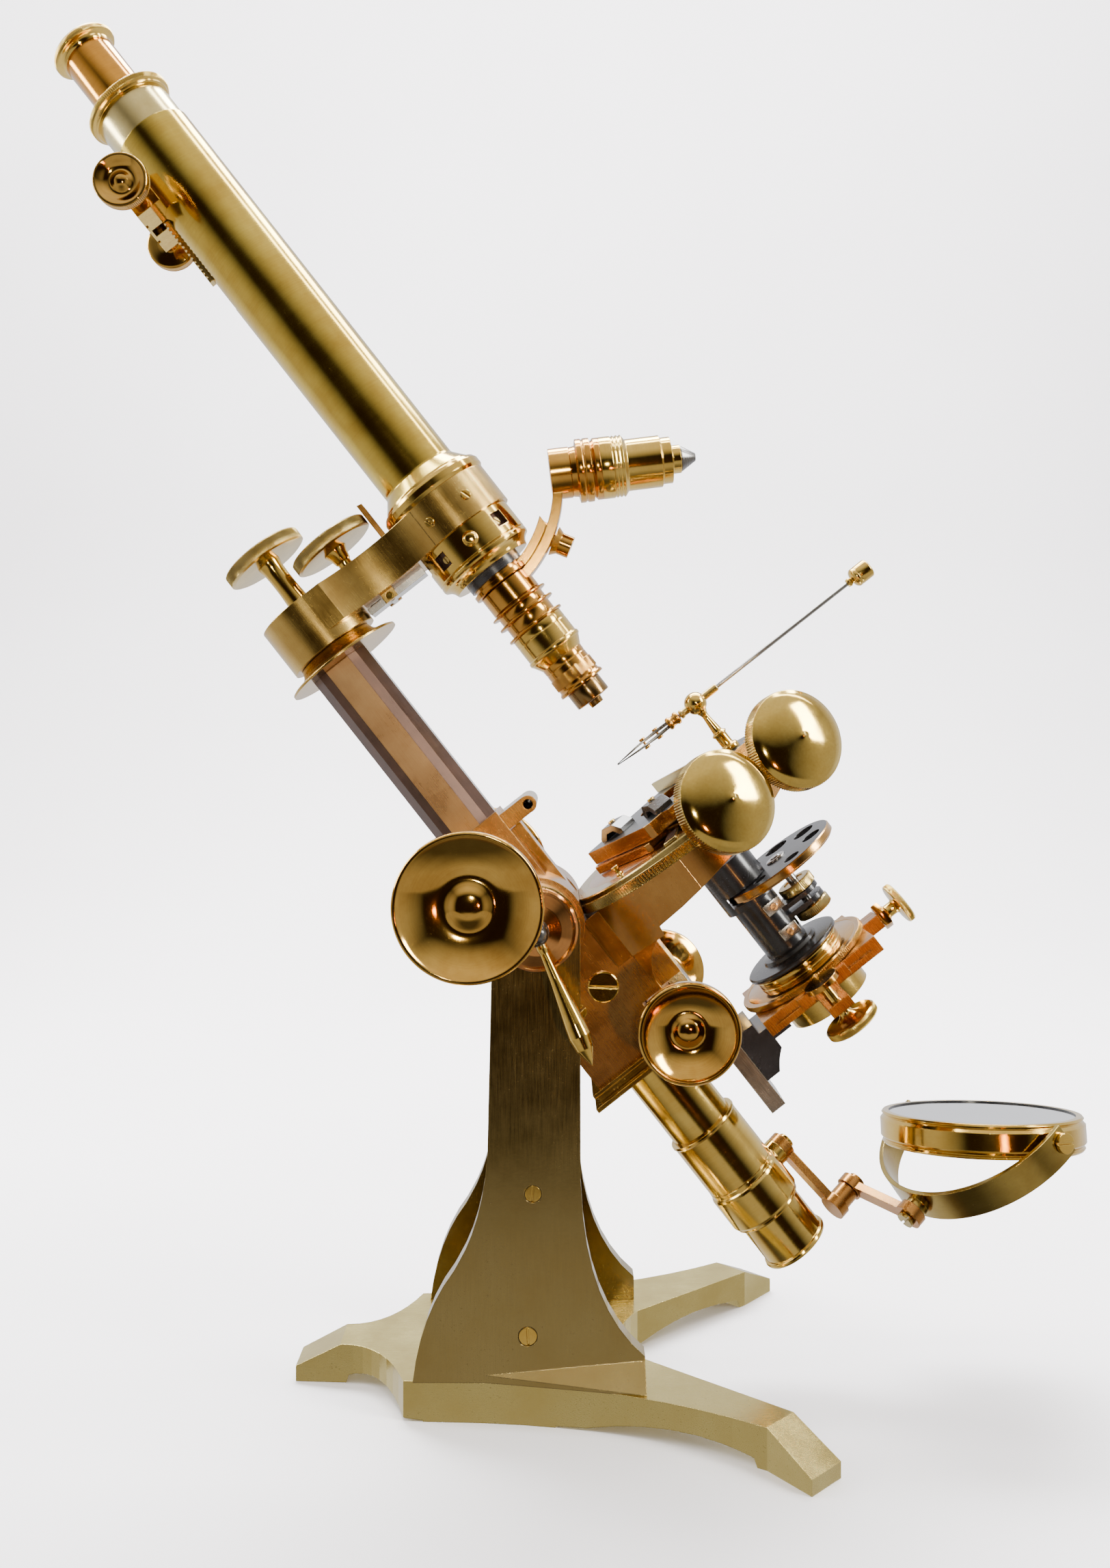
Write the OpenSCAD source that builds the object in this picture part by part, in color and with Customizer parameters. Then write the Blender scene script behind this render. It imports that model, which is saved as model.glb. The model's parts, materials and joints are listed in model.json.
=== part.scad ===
// Brass compound microscope on a three-toed stand with two pillars.
// World: +Z up, +X towards the mirror, +Y away from the coarse-focus milled head in front.
// The limb's own frame has its origin on the trunnion axis and z along the optical axis.

/* [Stand] */
// Height of the trunnion axis above the table
trunnion_h = 191; // [185:1:200]
// Lean of the optical axis from upright, towards -X
lean = 38.2; // [30:0.1:45]
// Thickness of the foot casting
foot_h = 15.6; // [14:0.2:17]
// Distance from the middle plane to a pillar's inner face
pillar_in = 31.5; // [30:0.5:33]
// Distance from the middle plane to a pillar's outer face
pillar_out = 39.5; // [38:0.5:41]
// Radius of the trunnion pins
trunnion_r = 7; // [6:0.5:8]
// Radius of the domed trunnion caps
cap_r = 16.2; // [14:0.2:17]

/* [Limb] */
// Distance from the trunnion axis forward to the optical axis
optic_x = 74.1; // [72:0.1:76]
// Half the thickness of the limb casting
limb_half = 20; // [18:0.5:22]
// Top of the limb casting
limb_top = 45; // [44:1:50]
// Forward offset of the bar's axis
bar_x = -0.25; // [-1:0.05:1]
// Top of the prism-shaped bar
bar_top = 132.5; // [130:0.5:135]
// Forward offset of the arm's pivot
arm_x = 2.2; // [1:0.1:3]
// Place of the coarse pinion along x and z
coarse_at = [-11.7, 24.9];
// Radius of the coarse milled heads
coarse_r = 28; // [26:0.5:30]
// Distance from the middle plane to a coarse head's rim
coarse_out = 70; // [68:0.5:72]
// Outer radius of the tail tube
tail_r = 13.8; // [13:0.1:14.5]

/* [Body] */
// Outer radius of the body tube
body_r = 17; // [16.5:0.1:17.5]
// Top of the body tube
body_top = 353; // [345:1:360]
// Outer radius of the draw tube
draw_r = 16.35; // [15.8:0.05:16.5]
// Top of the draw tube's beaded collar
draw_top = 372; // [368:1:380]
// Outer radius of the eyepiece tube
eye_r = 11.1; // [11:0.1:11.6]
// Top of the eyepiece cap
eye_top = 402; // [396:1:406]
// Place of the draw-tube pinion along x and z
draw_pinion_at = [52.7, 330];

/* [Nosepiece] */
// Height of the point where the optical axis meets the nosepiece pivot
apex_z = 167.5; // [165:0.5:170]
// Angle between the optical axis and the nosepiece pivot
swing_angle = 29.4; // [25:0.1:32]
// Radius of the sphere that the two halves of the nosepiece turn on
swing_r = 52; // [50:0.5:54]

/* [Stage] */
// Turn of the stage about the optical axis
stage_turn = 25; // [20:1:30]
// Radius of the toothed stage ring
ring_r = 59; // [56:0.5:60]
// Radius of the stage milled heads
stage_knob_r = 19.2; // [17:0.2:19.4]
// Half the distance between the stage milled heads
stage_knob_gap = 19.7; // [19.6:0.1:20.5]
// Distance from the optical axis to the stage heads' faces
stage_knob_out = 78; // [76:0.5:80]
// Height of the stage heads' axes
stage_knob_z = -2.2; // [-3:0.1:-1]

/* [Substage] */
// Place of the substage pinion along x and z
substage_at = [23.0, -63.1];
// Radius of the substage milled heads
substage_knob_r = 19.2; // [17:0.2:20]
// Distance from the middle plane to a substage head's rim
substage_out = 62; // [60:0.5:64]
// Radius of the aperture wheel
wheel_r = 26.5; // [25:0.5:28]
// Distance from the optical axis to the aperture wheel's axis
wheel_off = 18.4; // [17.5:0.1:19]

/* [Mirror] */
// Turn of the mirror arm about the tail tube
mirror_turn = 24.9; // [20:0.1:30]
// Radius of the mirror cell
mirror_r = 40.8; // [39:0.1:41]
// Inner radius of the fork
fork_r = 42.8; // [42.5:0.1:44]
// Mirror centre in the arm's frame: out from the tube, sideways, along the tube
mirror_at = [82.3, -38.1, -184.8];
// Tilt of the fork about the arm's outward direction
fork_tilt = 7.6; // [0:0.1:12]
// Tilt of the mirror about its own pivots
mirror_tilt = 38.4; // [30:0.1:45]

/* [Hidden] */

run = 0.05;      // radial clearance of a running fit
slip = 0.2;      // clearance between sliding faces
eps = 0.5;       // how far a cutter runs past a face
plate_gap = 0.3; // gap between the stage plates
tail_x = -0.3;   // forward offset of the tail tube
tail_end = -174.5; // lower end of the tail tube
eye_cap_r = 14.1; // eyepiece cap
// the object reaches from the eyepiece cap at the left to the mirror's rim at the right
mirror_x = tail_x + mirror_at[0] * cos(mirror_turn) - mirror_at[1] * sin(mirror_turn);
left_end = (optic_x - eye_cap_r) * cos(lean) - eye_top * sin(lean);
right_end = mirror_x * cos(lean) - mirror_at[2] * sin(lean) + mirror_r;
box_mid = (left_end + right_end) / 2; // middle of the object's length

olive = [0.62, 0.55, 0.28];
gold = [0.80, 0.62, 0.28];
copper = [0.66, 0.42, 0.24];
steel = [0.72, 0.72, 0.70];
black = [0.08, 0.08, 0.08];
glass = [0.75, 0.85, 0.9];

// ---- shared shapes ----

// Points of a quadratic curve from a to c that leans towards b
function bend(a, b, c, n = 8) = [for (i = [0:n]) let (t = i / n)
    a * (1 - t) * (1 - t) + b * 2 * t * (1 - t) + c * t * t];

function flip_y(pts) = [for (i = [len(pts) - 1:-1:0]) [pts[i][0], -pts[i][1]]];

module world() { translate([-box_mid, 0, 0]) children(); }
module limb_frame() { world() translate([0, 0, trunnion_h]) rotate([0, -lean, 0]) children(); }
module optical() { limb_frame() translate([optic_x, 0, 0]) children(); }
module stage_frame() { optical() rotate([0, 0, stage_turn]) children(); }
module mirror_frame() { limb_frame() translate([tail_x, 0, 0]) rotate([0, 0, mirror_turn]) children(); }
module both_sides() { children(); mirror([0, 1, 0]) children(); }

// Places a piece along the nosepiece: turn 0 is on the optical axis, turn 180 is swung out.
// z points down the piece's own axis from the apex.
module from_apex(turn = 0) {
    optical() translate([0, 0, apex_z]) rotate(a = turn, v = [sin(swing_angle), 0, -cos(swing_angle)])
        rotate([180, 0, 0]) children();
}
// The same, along the nosepiece pivot
module along_pivot() {
    optical() translate([0, 0, apex_z]) rotate([0, 180 - swing_angle, 0]) children();
}

module turned(pts) { rotate_extrude($fn = 64) polygon(pts); }
module rod(r, z0, z1) { translate([0, 0, z0]) cylinder(r = r, h = z1 - z0, $fn = 48); }
module tube(r, bore, z0, z1) {
    difference() { rod(r, z0, z1); rod(bore, z0 - eps, z1 + eps); }
}
// A box from its two corners
module block(a, b) { translate(a) cube(b - a); }
// Turns z towards the viewer in front, -Y
module facing_front() { rotate([90, 0, 0]) children(); }
// A shaft or hole across the limb at x, z
module across(at, r, y0, y1) {
    translate([at[0], y1, at[1]]) facing_front() cylinder(r = r, h = y1 - y0, $fn = 48);
}
// A slot cut in a screw head, across its top at height z
module driver_slot(r, z, w = 1) { translate([-r - eps, -w / 2, z - 0.9]) cube([2 * r + 1, w, 2]); }
module slotted_screw(r, head, shank_r, shank, turn = 30) {
    difference() {
        union() { rod(r, 0, head); rod(shank_r, -shank, 0); }
        rotate([0, 0, turn]) driver_slot(r, head);
    }
}
// A dished milled head: its hub at 0, its rim at depth
module dished_head(r, depth) {
    turned([[0, 0], [6.2, 0], [8, 2], [r * 0.45, 3.2], [r * 0.78, depth - 7], [r - 0.6, depth - 4.6],
        [r, depth - 4], [r, depth - 0.8], [r - 0.8, depth], [r - 2.4, depth - 0.4],
        [r * 0.74, depth - 4.2], [r * 0.5, depth - 6.6], [r * 0.4, depth - 7.4], [r * 0.34, depth - 6],
        [r * 0.2, depth - 4.8], [0, depth - 4.2]]);
}
// A flat milled head with a stem hub below it
module milled_head(r, z, h, hub_r, hub_h) {
    turned([[0, z - hub_h], [hub_r * 0.65, z - hub_h], [hub_r, z], [r - 0.6, z], [r, z + 0.6],
        [r, z + h - 0.6], [r - 0.6, z + h], [0, z + h]]);
}

// ---- stand ----

toe_edge = concat([[-99.5, -7.9]], bend([-80, -9], [-62, -9], [-51.7, -38]),
    bend([-20, -39.5], [38, -43], [84, -70.8]),
    [[97.1, -86.4], [109.8, -75.1], [95.4, -60]], bend([43, -20.7], [36, -12], [34, 0], 4));
toe_dir = atan2(-15.4, 13.8);
pad_step = 3.2;

module toe_cutters() {
    // sloping top of the left toe
    translate([0, 20, 0]) facing_front() linear_extrude(40)
        polygon([[-81, foot_h], [-81, 30], [-110, 30], [-110, 1.1]]);
    // hollow under the left leg
    translate([0, 60, 0]) facing_front() linear_extrude(120)
        polygon(concat([[-79, -1], [-77.5, pad_step]], bend([-75, pad_step + 0.8], [-62, 7], [-51, 1.2], 5),
            [[-44, 0.6], [-44, -1]]));
    both_sides() translate([89.7, -65.4, 0]) rotate([0, 0, toe_dir]) translate([0, 40, 0])
        facing_front() {
            linear_extrude(80) polygon([[0, foot_h], [0, 30], [40, 30], [40, -3]]);
            linear_extrude(90) polygon(concat([[-3, -1], [-4.5, pad_step]],
                bend([-7, pad_step + 0.6], [-34, 9], [-62, 1.2], 6), [[-72, 0.6], [-72, -1]]));
        }
}
module foot() {
    world() color(olive) difference() {
        linear_extrude(foot_h) polygon(concat(toe_edge, flip_y(toe_edge)));
        toe_cutters();
        for (x = [-30, 20]) both_sides() translate([x, -35.5, -1]) cylinder(r = 2.6, h = 12, $fn = 32);
    }
}

pillar_edge = concat(bend([-47.9, foot_h], [-45, 42], [-31.9, 59], 6),
    bend([-30.5, 61.5], [-21, 77], [-19, 103], 6), [[-17, trunnion_h], [17, trunnion_h], [17.1, 94]],
    bend([17.4, 90], [19, 45], [42.1, 25.8], 8),
    [[42.1, foot_h]]);
spacer_at = [[-1.3, 88.6, 3.4], [-3.3, 33.5, 3.8]];

module pillars() {
    world() color(olive) both_sides() difference() {
        union() {
            translate([0, -pillar_in, 0]) facing_front() linear_extrude(pillar_out - pillar_in)
                polygon(pillar_edge);
            across([0, trunnion_h], 17, -pillar_out, -pillar_in);
            // the flange that widens to the foot's edge
            hull() {
                translate([-20, -pillar_out, foot_h]) cube([1, 0.5, 3]);
                translate([41.1, -pillar_out, foot_h]) cube([1, 0.5, 8.6]);
                translate([41.1, -49.4, foot_h]) cube([1, 9, 0.4]);
            }
        }
        across([0, trunnion_h], trunnion_r, -pillar_out - 1, -pillar_in + 1);
        for (s = spacer_at) {
            across(s, 2.05, -pillar_out - 1, -pillar_in + 1);
            across(s, s[2], -pillar_out - 1, -pillar_out + 2);
        }
    }
}
module pillar_spacers() {
    world() color(olive) for (s = spacer_at) difference() {
        across(s, 6, -pillar_in, pillar_in);
        across(s, 2.05, -pillar_in - 1, -pillar_in + 9);
        across(s, 2.05, pillar_in - 9, pillar_in + 1);
    }
}
module pillar_screws() {
    world() color(olive) both_sides() for (s = spacer_at)
        translate([s[0], -pillar_out + 1.9, s[1]]) facing_front()
            slotted_screw(s[2] - 0.05, 1.9, 2, 13, s[2] * 25);
}
module trunnion_pins() {
    world() translate([0, 0, trunnion_h]) color(copper) difference() {
        both_sides() facing_front() {
            rod(trunnion_r, 16, pillar_out + 0.5);
            translate([0, 0, pillar_out])
                turned([[0, 0], [cap_r, 0], [cap_r, 1.6], [cap_r - 1, 2.4], [cap_r - 2, 2],
                    [cap_r * 0.6, 3.9], [cap_r * 0.3, 4.9], [0, 5.2]]);
        }
        facing_front() rod(stud_r_lever + run, pillar_out - 4, pillar_out + 8);
    }
}
lever_y = 51;       // centre of the lever's ball
stud_r_lever = 2;   // stud the lever turns on
module clamp_lever() {
    world() translate([0, 0, trunnion_h]) facing_front() {
        color(steel) {
            rod(stud_r_lever, pillar_out - 3.5, lever_y - 3);
            rod(5, pillar_out + 5.5, lever_y - 3);
            translate([0, 0, lever_y]) sphere(r = 4.9, $fn = 40);
        }
        color(gold) translate([0, 0, lever_y]) rotate([0, 0, -66]) rotate([0, 81, 0])
            turned([[0, 4], [2.1, 4], [2.2, 6], [1.7, 8], [2.2, 18], [4.0, 36], [4.3, 41], [3.4, 46],
                [1.4, 50], [0, 52.5]]);
    }
}

// ---- limb ----

bar_half = [[13, -4], [13, 4], [9.2, 9.5], [5.5, 12], [-5.5, 12], [-9.2, 9.5], [-13, 4], [-13, -4],
    [-9.2, -9.5], [-5.5, -12], [5.5, -12], [9.2, -9.5]];
rack_face = -6.9;     // where the coarse rack's teeth end
pinion_r = 4.6;       // coarse pinion
relief_top = 50;      // the bar is cut back below this height
slide_x = [26.2, 33]; // back and front of the substage slide
substage_pinion_r = 3;

module bar_section(z0, z1, grow = 0) {
    k = 1 + grow / 12;
    translate([bar_x, 0, z0]) linear_extrude(z1 - z0) polygon(bar_half * k);
}
module limb() {
    limb_frame() color(copper) difference() {
        union() {
            block([-22, -limb_half, -21], [14.3, limb_half, limb_top]);
            block([-22, -limb_half, -52], [22, limb_half, -20]);
            block([-22, -limb_half, -68.5], [13, limb_half, -51]);
            block([12, -16, -68.5], [slide_x[0] - 0.2, 16, -57.5]);
            both_sides() block([21.5, 12.4, -52], [slide_x[1], 16.5, -34.2]);
            across([0, 0], 19, -pillar_in + 0.3, pillar_in - 0.3);
        }
        bar_section(-70, 60, 0.25);
        across([0, 0], trunnion_r + run, -pillar_in, -13);
        across([0, 0], trunnion_r + run, 13, pillar_in);
        across(coarse_at, 3 + run, -40, 40);
        across(coarse_at, pinion_r + 0.5, -4.5, 4.5);
        across(substage_at, 2.2 + run, -30, 30);
        across(substage_at, substage_pinion_r + 0.4, -6.5, 6.5);
        block([slide_x[0] - 1.5, -6.5, -70], [slide_x[0] + 1, 6.5, -56]);
        // seat of the gib strip, and room for the stage ring
        block([14.3, -6, -3], [20, 6, limb_top]);
        translate([optic_x, 0, 0]) rod(ring_r + slip, ring_z[0] - slip, disc_z + slip);
        for (s = limb_screw_at) both_sides() translate([s[0], -limb_half, s[1]]) facing_front()
            rod(s[4], -3, 1);
    }
}
module limb_base() {
    limb_frame() color(gold) difference() {
        union() {
            block([-27.5, -24, -75], [18, 24, -73.2]);
            block([-24.5, -21.5, -73.2], [15, 21.5, -70]);
            block([-25.5, -22.5, -70], [16, 22.5, -68.5]);
        }
        translate([tail_x, 0, 0]) rod(tail_r, -76, -68);
    }
}
module gib_strip() { limb_frame() color(copper) block([14.3, -6, -3], [18.5, 6, 35]); }
// x, z, head radius, head height, shank radius and slot angle
limb_screw_at = [[4.8, -37, 6.3, 1.5, 1.5, -40], [-9, -39, 3, 0.8, 1, 10]];
module limb_screws() {
    limb_frame() color(gold) both_sides() for (s = limb_screw_at)
        translate([s[0], -limb_half, s[1]]) facing_front() slotted_screw(s[2], s[3], s[4], 3, s[5]);
}
module stage_bracket() {
    wide = 44;
    limb_frame() color(copper) difference() {
        union() {
            translate([optic_x, 0, 0]) rod(wide, -30, -11.2);
            translate([0, 0, -34]) linear_extrude(22.8)
                polygon([[14.5, -24], [22, -24], [optic_x - 14, -42],
                    [optic_x - 14, 42], [22, 24], [14.5, 24]]);
            both_sides() block([22, 16.7, -52], [37, 23.5, -30]);
        }
        // underside rises towards the front
        translate([0, 60, 0]) facing_front() linear_extrude(120)
            polygon([[50, -28.5], [optic_x + 60, -13], [optic_x + 60, -50], [34.5, -50], [38, -30]]);
        // hollow corner of the side webs
        across([39, -50], 15.8, -60, 60);
        block([0, -limb_half, -60], [22, limb_half, -20]);
        block([0, -limb_half, -60], [14.3, limb_half, -10]);
        across([0, 0], 19 + slip, -60, 60);
        translate([optic_x, 0, 0]) rod(30 + run, -60, 0);
        block([slide_x[0] - 5, -17, -60], [slide_x[1] + 1.5, 17, -14]);
    }
}
socket_at = [26.3, 39.4];
module accessory_socket() {
    limb_frame() color(copper) difference() {
        union() {
            block([14.3, -limb_half, 36], [socket_at[0], limb_half, 43]);
            across(socket_at, 3.5, -limb_half, limb_half);
        }
        across(socket_at, 2, -limb_half - 1, limb_half - 2);
    }
}
module tail_tube() {
    limb_frame() color(gold) translate([tail_x, 0, 0]) difference() {
        union() {
            rod(tail_r, tail_end, -68.5);
            turned([[12.6, tail_end], [14.6, tail_end], [14.9, tail_end + 0.9], [14.6, tail_end + 1.8],
                [12.6, tail_end + 2.2]]);
        }
        rod(tail_r - 1.4, tail_end - 1, -67);
    }
}
module coarse_pinion() {
    limb_frame() translate([coarse_at[0], 0, coarse_at[1]]) {
        color(steel) { facing_front() rod(3, -56, 56); facing_front() rod(pinion_r, -4, 4); }
        color(gold) both_sides() facing_front() translate([0, 0, coarse_out - 14.6])
            difference() { dished_head(coarse_r, 14.6); rod(3, -1, 0.6); }
    }
}

// ---- bar and arm ----

module prism_bar() {
    limb_frame() color(copper) difference() {
        bar_section(-50, bar_top);
        block([-15, -15, -60], [rack_face, 15, relief_top]);
        block([-8, -3.6, -60], [rack_face + 2, 3.6, relief_top + 0.01]);
    }
}
module coarse_rack() {
    limb_frame() color(gold) difference() {
        block([rack_face, -3.6, -50], [rack_face + 2, 3.6, relief_top]);
        for (z = [-48:3:48]) block([rack_face - 1, -4, z], [rack_face + 0.9, 4, z + 1.4]);
    }
}
module bar_collar() {
    limb_frame() color(gold) translate([arm_x, 0, 0])
        turned(concat([[0, bar_top], [26, bar_top], [26, bar_top + 0.9]],
            bend([25, bar_top + 1.4], [18, bar_top + 2], [17, bar_top + 6.8], 6), [[9, bar_top + 6.8],
            [9, 155], [0, 155]]));
}

arm_top = 161.5;
boss_r = [23.2, 20]; // front and rear boss
nose_r = 13;         // nose tube
fine_x = 27.3;       // fine-focus screw
lever_at = [34, 141.7];

module arm() {
    limb_frame() color(copper) difference() {
        union() {
            translate([optic_x, 0, 0]) rod(boss_r[0], 144, arm_top);
            translate([arm_x, 0, 0]) rod(boss_r[1], 139.5, arm_top);
            difference() {
                block([arm_x, -19.6, 144], [optic_x, 19.6, arm_top]);
                both_sides() translate([38, 58, 143]) cylinder(r = 45, h = 20, $fn = 96);
            }
            both_sides() block([31, 5.3, 139.8], [37, 8, 144.5]);
        }
        translate([optic_x, 0, 0]) rod(nose_r + run, 140, 170);
        translate([arm_x, 0, 0]) { rod(9 + run, 130, 155.3); rod(3 + run, 150, 170); }
        translate([fine_x, 0, 0]) rod(3 + run, 140, 170);
        across(lever_at, 1.5, -9, 9);
        arm_screw_places() { rod(2, 0, 2); rod(0.8, -1.5, 0); }
    }
}
module arm_screw_places() {
    for (a = [-112, -66, 75, 120]) translate([optic_x, 0, 152.5]) rotate([0, 0, a])
        translate([boss_r[0] - 0.2, 0, 0]) rotate([0, 90, 0]) children();
}
module arm_screws() {
    limb_frame() {
        color(steel) across(lever_at, 1.5, -8, 8);
        color(gold) arm_screw_places() slotted_screw(2, 0.9, 0.8, 1.5, 20);
    }
}
module stop_blade() {
    limb_frame() color(copper) difference() {
        block([46, -7, arm_top], [48.3, 7, 179.5]);
        translate([45, -8, 179.5]) rotate([0, 12, 0]) cube([6, 16, 4]);
    }
}
module nose_box() {
    limb_frame() color(gold) translate([optic_x, 0, 0]) difference() {
        turned(concat([[13.1, 124.5], [18, 124.5]], bend([18.3, 125.2], [18.8, 127.4], [21.5, 128.6], 5),
            [[21.8, 129.4], [21.8, 130.6], [21.2, 131], [21.8, 131.6], [21.8, 144], [13.1, 144]]));
        for (a = [-131, -48, 48, 131]) rotate([0, 0, a]) block([19.2, -3, 134.5], [24, 3, 140.8]);
        block([-24, -5.4, 138], [-20.4, 5.4, 145]);
    }
}
rack_x = 55.5; // face of the draw-tube rack
module body_tube() {
    limb_frame() color(gold) {
        translate([optic_x, 0, 0]) difference() {
            turned([[nose_r + 0.1, arm_top], [23, arm_top], [24, 163], [24, 165.6], [23.2, 167],
                [21.7, 167.4], [21.3, 168.4], [body_r + 0.2, 173.6], [body_r, 174.4], [body_r, body_top],
                [draw_r + 0.08, body_top], [draw_r + 0.08, 182], [nose_r + 0.6, 180]]);
            block([rack_x - optic_x - 3, -2.8, 276], [-14, 2.8, body_top + 1]);
        }
    }
}
module pinion_box() {
    limb_frame() color(gold) difference() {
        block([48.8, -19, 322.5], [60.5, 19, 337.5]);
        translate([optic_x, 0, 0]) rod(body_r, 320, 340);
        block([49.9, -3.2, 321], [60.6, 3.2, 339]);
        for (s = [-1, 1]) block([47, s * 8 - 1, 321], [50, s * 8 + 1, 339]);
        across(draw_pinion_at, 1.8 + run, -20, 20);
    }
}

module arm_clamp_screw() {
    limb_frame() color(gold) translate([arm_x, 0, 0]) {
        rod(3, 156, 163);
        turned([[0, 161.7], [7, 161.7], [7, 162.6], [4.8, 163.2], [4.4, 180], [5.2, 184.6], [0, 184.6]]);
        milled_head(18.1, 184.5, 5.5, 6, 0.8);
    }
}
module fine_focus_screw() {
    limb_frame() color(gold) translate([fine_x, 0, 0]) {
        rod(3, 144.4, 166.2);
        milled_head(18.2, 171.5, 5.5, 5.4, 5.4);
    }
}
module fine_focus_lever() {
    limb_frame() color(steel) difference() {
        union() { block([23, -5, 140.2], [51.6, 5, 143.2]); across(lever_at, 2.2, -5, 5); }
        across(lever_at, 1.5 + run, -6, 6);
    }
}
module nose_tube() {
    limb_frame() color(black) translate([optic_x, 0, 0]) tube(nose_r, 11.2, 121.2, 177.5);
}

// ---- double nosepiece, built outwards from the apex ----

stud_r = 3;
// The part of a sphere shell between two radii
module shell(r0, r1) { difference() { sphere(r = r1, $fn = 96); sphere(r = r0, $fn = 96); } }

module nosepiece_ring() {
    color(copper) {
        from_apex() difference() {
            intersection() {
                union() {
                    rod(11.8, apex_z - 121.2, 60);
                    rod(13.3, 48, 60);
                }
                sphere(r = swing_r - 0.3, $fn = 96);
            }
            rod(9.5, 40, 60);
        }
        optical() translate([0, 0, apex_z]) intersection() {
            shell(swing_r - 4, swing_r - 0.3);
            difference() {
                block([10, -6, -60], [29, 6, -30]);
                translate([0, 0, -60]) cylinder(r = 11, h = 30, $fn = 48);
            }
        }
        along_pivot() {
            intersection() { rod(6, 48, swing_r + 1); sphere(r = swing_r - 0.3, $fn = 96); }
            rod(stud_r, 50, 63);
        }
        color(steel) along_pivot() turned([[0, swing_r + 4.4], [6.4, swing_r + 4.4], [4.6, swing_r + 7],
            [4.6, swing_r + 12], [0, swing_r + 12]]);
    }
}
mouth_h = 7.4;
// Turned half: two mouths on a bar, hollowed by the sphere they turn on
module nosepiece_swing() {
    color(copper) difference() {
        union() {
            from_apex() rod(11.5, 48, swing_r + mouth_h);
            from_apex(180) rod(10.6, 48, swing_r + mouth_h);
            optical() translate([0, 0, apex_z]) intersection() {
                sphere(r = swing_r + 4, $fn = 96);
                difference() {
                    block([2, -6, -60], [60, 6, -20]);
                    // the bar ends inside the swung-out mouth
                    rotate([0, 180 - 2 * swing_angle, 0]) block([-60, -30, 0], [-3, 30, 80]);
                }
            }
        }
        optical() translate([0, 0, apex_z]) sphere(r = swing_r, $fn = 96);
        for (turn = [0, 180]) from_apex(turn) rod(8.6, 40, 80);
        along_pivot() rod(stud_r + run, 40, 70);
    }
}
// Objectives: profiles from the mouth outwards, z measured from the apex
module high_power_objective() {
    z = swing_r + mouth_h;
    color(gold) from_apex() turned([[0, z], [11, z], [11.2, 60], [13.5, 60.2], [13.5, 61.2], [11, 61.4],
        [11, 64.8], [13.5, 65], [13.5, 66.2], [10.8, 66.4], [10.8, 71], [13.4, 71.2], [13.4, 72.4],
        [12, 72.6], [12, 83.4], [12.6, 83.7], [12.6, 85.3], [12, 85.6], [9.8, 89.5], [9.7, 101.5],
        [10.6, 102.4], [10.6, 103.6], [7.9, 103.8], [7.9, 111], [3.2, 111.6], [2.9, 114], [0, 114]]);
}
module low_power_objective() {
    z = swing_r + mouth_h;
    color(gold) from_apex(180) turned([[0, z], [10.2, z], [10.6, 62], [13.2, 62.4], [13.2, 64.6],
        [12.6, 65.2], [13.2, 65.8], [13.2, 68.2], [11.4, 68.6], [12.8, 69.8], [12.8, 77], [12.3, 77.3],
        [12.9, 78.1], [12.3, 78.9], [12.9, 79.7], [12.3, 80.5], [12.9, 81.3], [12, 82], [10.7, 83],
        [10.7, 97.2], [9.6, 97.6], [9.6, 101.6], [5.9, 102.2], [5.9, 105.6], [5.3, 105.8], [1.6, 112],
        [0, 112]]);
}

// ---- draw tube and eyepiece ----

module draw_tube() {
    limb_frame() color(gold) translate([optic_x, 0, 0]) {
        difference() {
            union() {
                rod(draw_r, 215, draw_top - 2);
                turned([[eye_r + 0.1, draw_top - 5], [17.6, draw_top - 5], [18.9, draw_top - 4],
                    [18.9, draw_top - 0.8], [18, draw_top], [eye_r + 0.1, draw_top]]);
            }
            rod(draw_r - 1, 214, draw_top - 5);
            rod(eye_r + run, 300, draw_top + 1);
        }
        difference() {
            block([rack_x - optic_x, -2.5, 291], [-draw_r + 0.8, 2.5, 352]);
            rod(draw_r - 0.5, 280, 360);
            for (z = [293:2:350]) block([rack_x - optic_x - 1, -3, z], [rack_x - optic_x + 0.7, 3, z + 1]);
        }
    }
}
module draw_pinion() {
    limb_frame() translate([draw_pinion_at[0], 0, draw_pinion_at[1]]) {
        color(steel) { facing_front() rod(1.8, -33, 33); facing_front() rod(2.6, -3, 3); }
        color(gold) both_sides() facing_front() translate([0, 0, 26.5])
            turned([[1.8, 0], [3.6, 0], [4, 3], [9.6, 4.4], [10.8, 5], [10.8, 8.4], [10, 9.2],
                [8.6, 8.8], [5, 6.8], [3.4, 7.6], [0, 9.4], [0, 6.5], [1.8, 6.5]]);
    }
}
module eyepiece() {
    limb_frame() color(gold) translate([optic_x, 0, 0])
        turned([[9.9, 331], [eye_r, 331], [eye_r, 397], [eye_r + 0.6, 398], [eye_cap_r, 399.4],
            [eye_cap_r, 401], [13.2, eye_top], [6, 401], [4.6, 399.6], [4.6, 396], [9.9, 395]]);
}
module eyepiece_lenses() {
    limb_frame() color(glass) translate([optic_x, 0, 0]) {
        turned([[0, 396.4], [4.6, 397.2], [4.6, 398.4], [0, 399.4]]);
        turned([[0, 332], [9.9, 334.2], [9.9, 335], [0, 336.5]]);
    }
}

// ---- stage, in a frame turned with it ----

ring_z = [-10.5, -6.5];
disc_z = -4.2;
lower_z = [disc_z + plate_gap, -0.6];
upper_z = [lower_z[1] + plate_gap, 5.6];
plate_half = [34, 31];
corner_r = 44.5;

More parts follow.
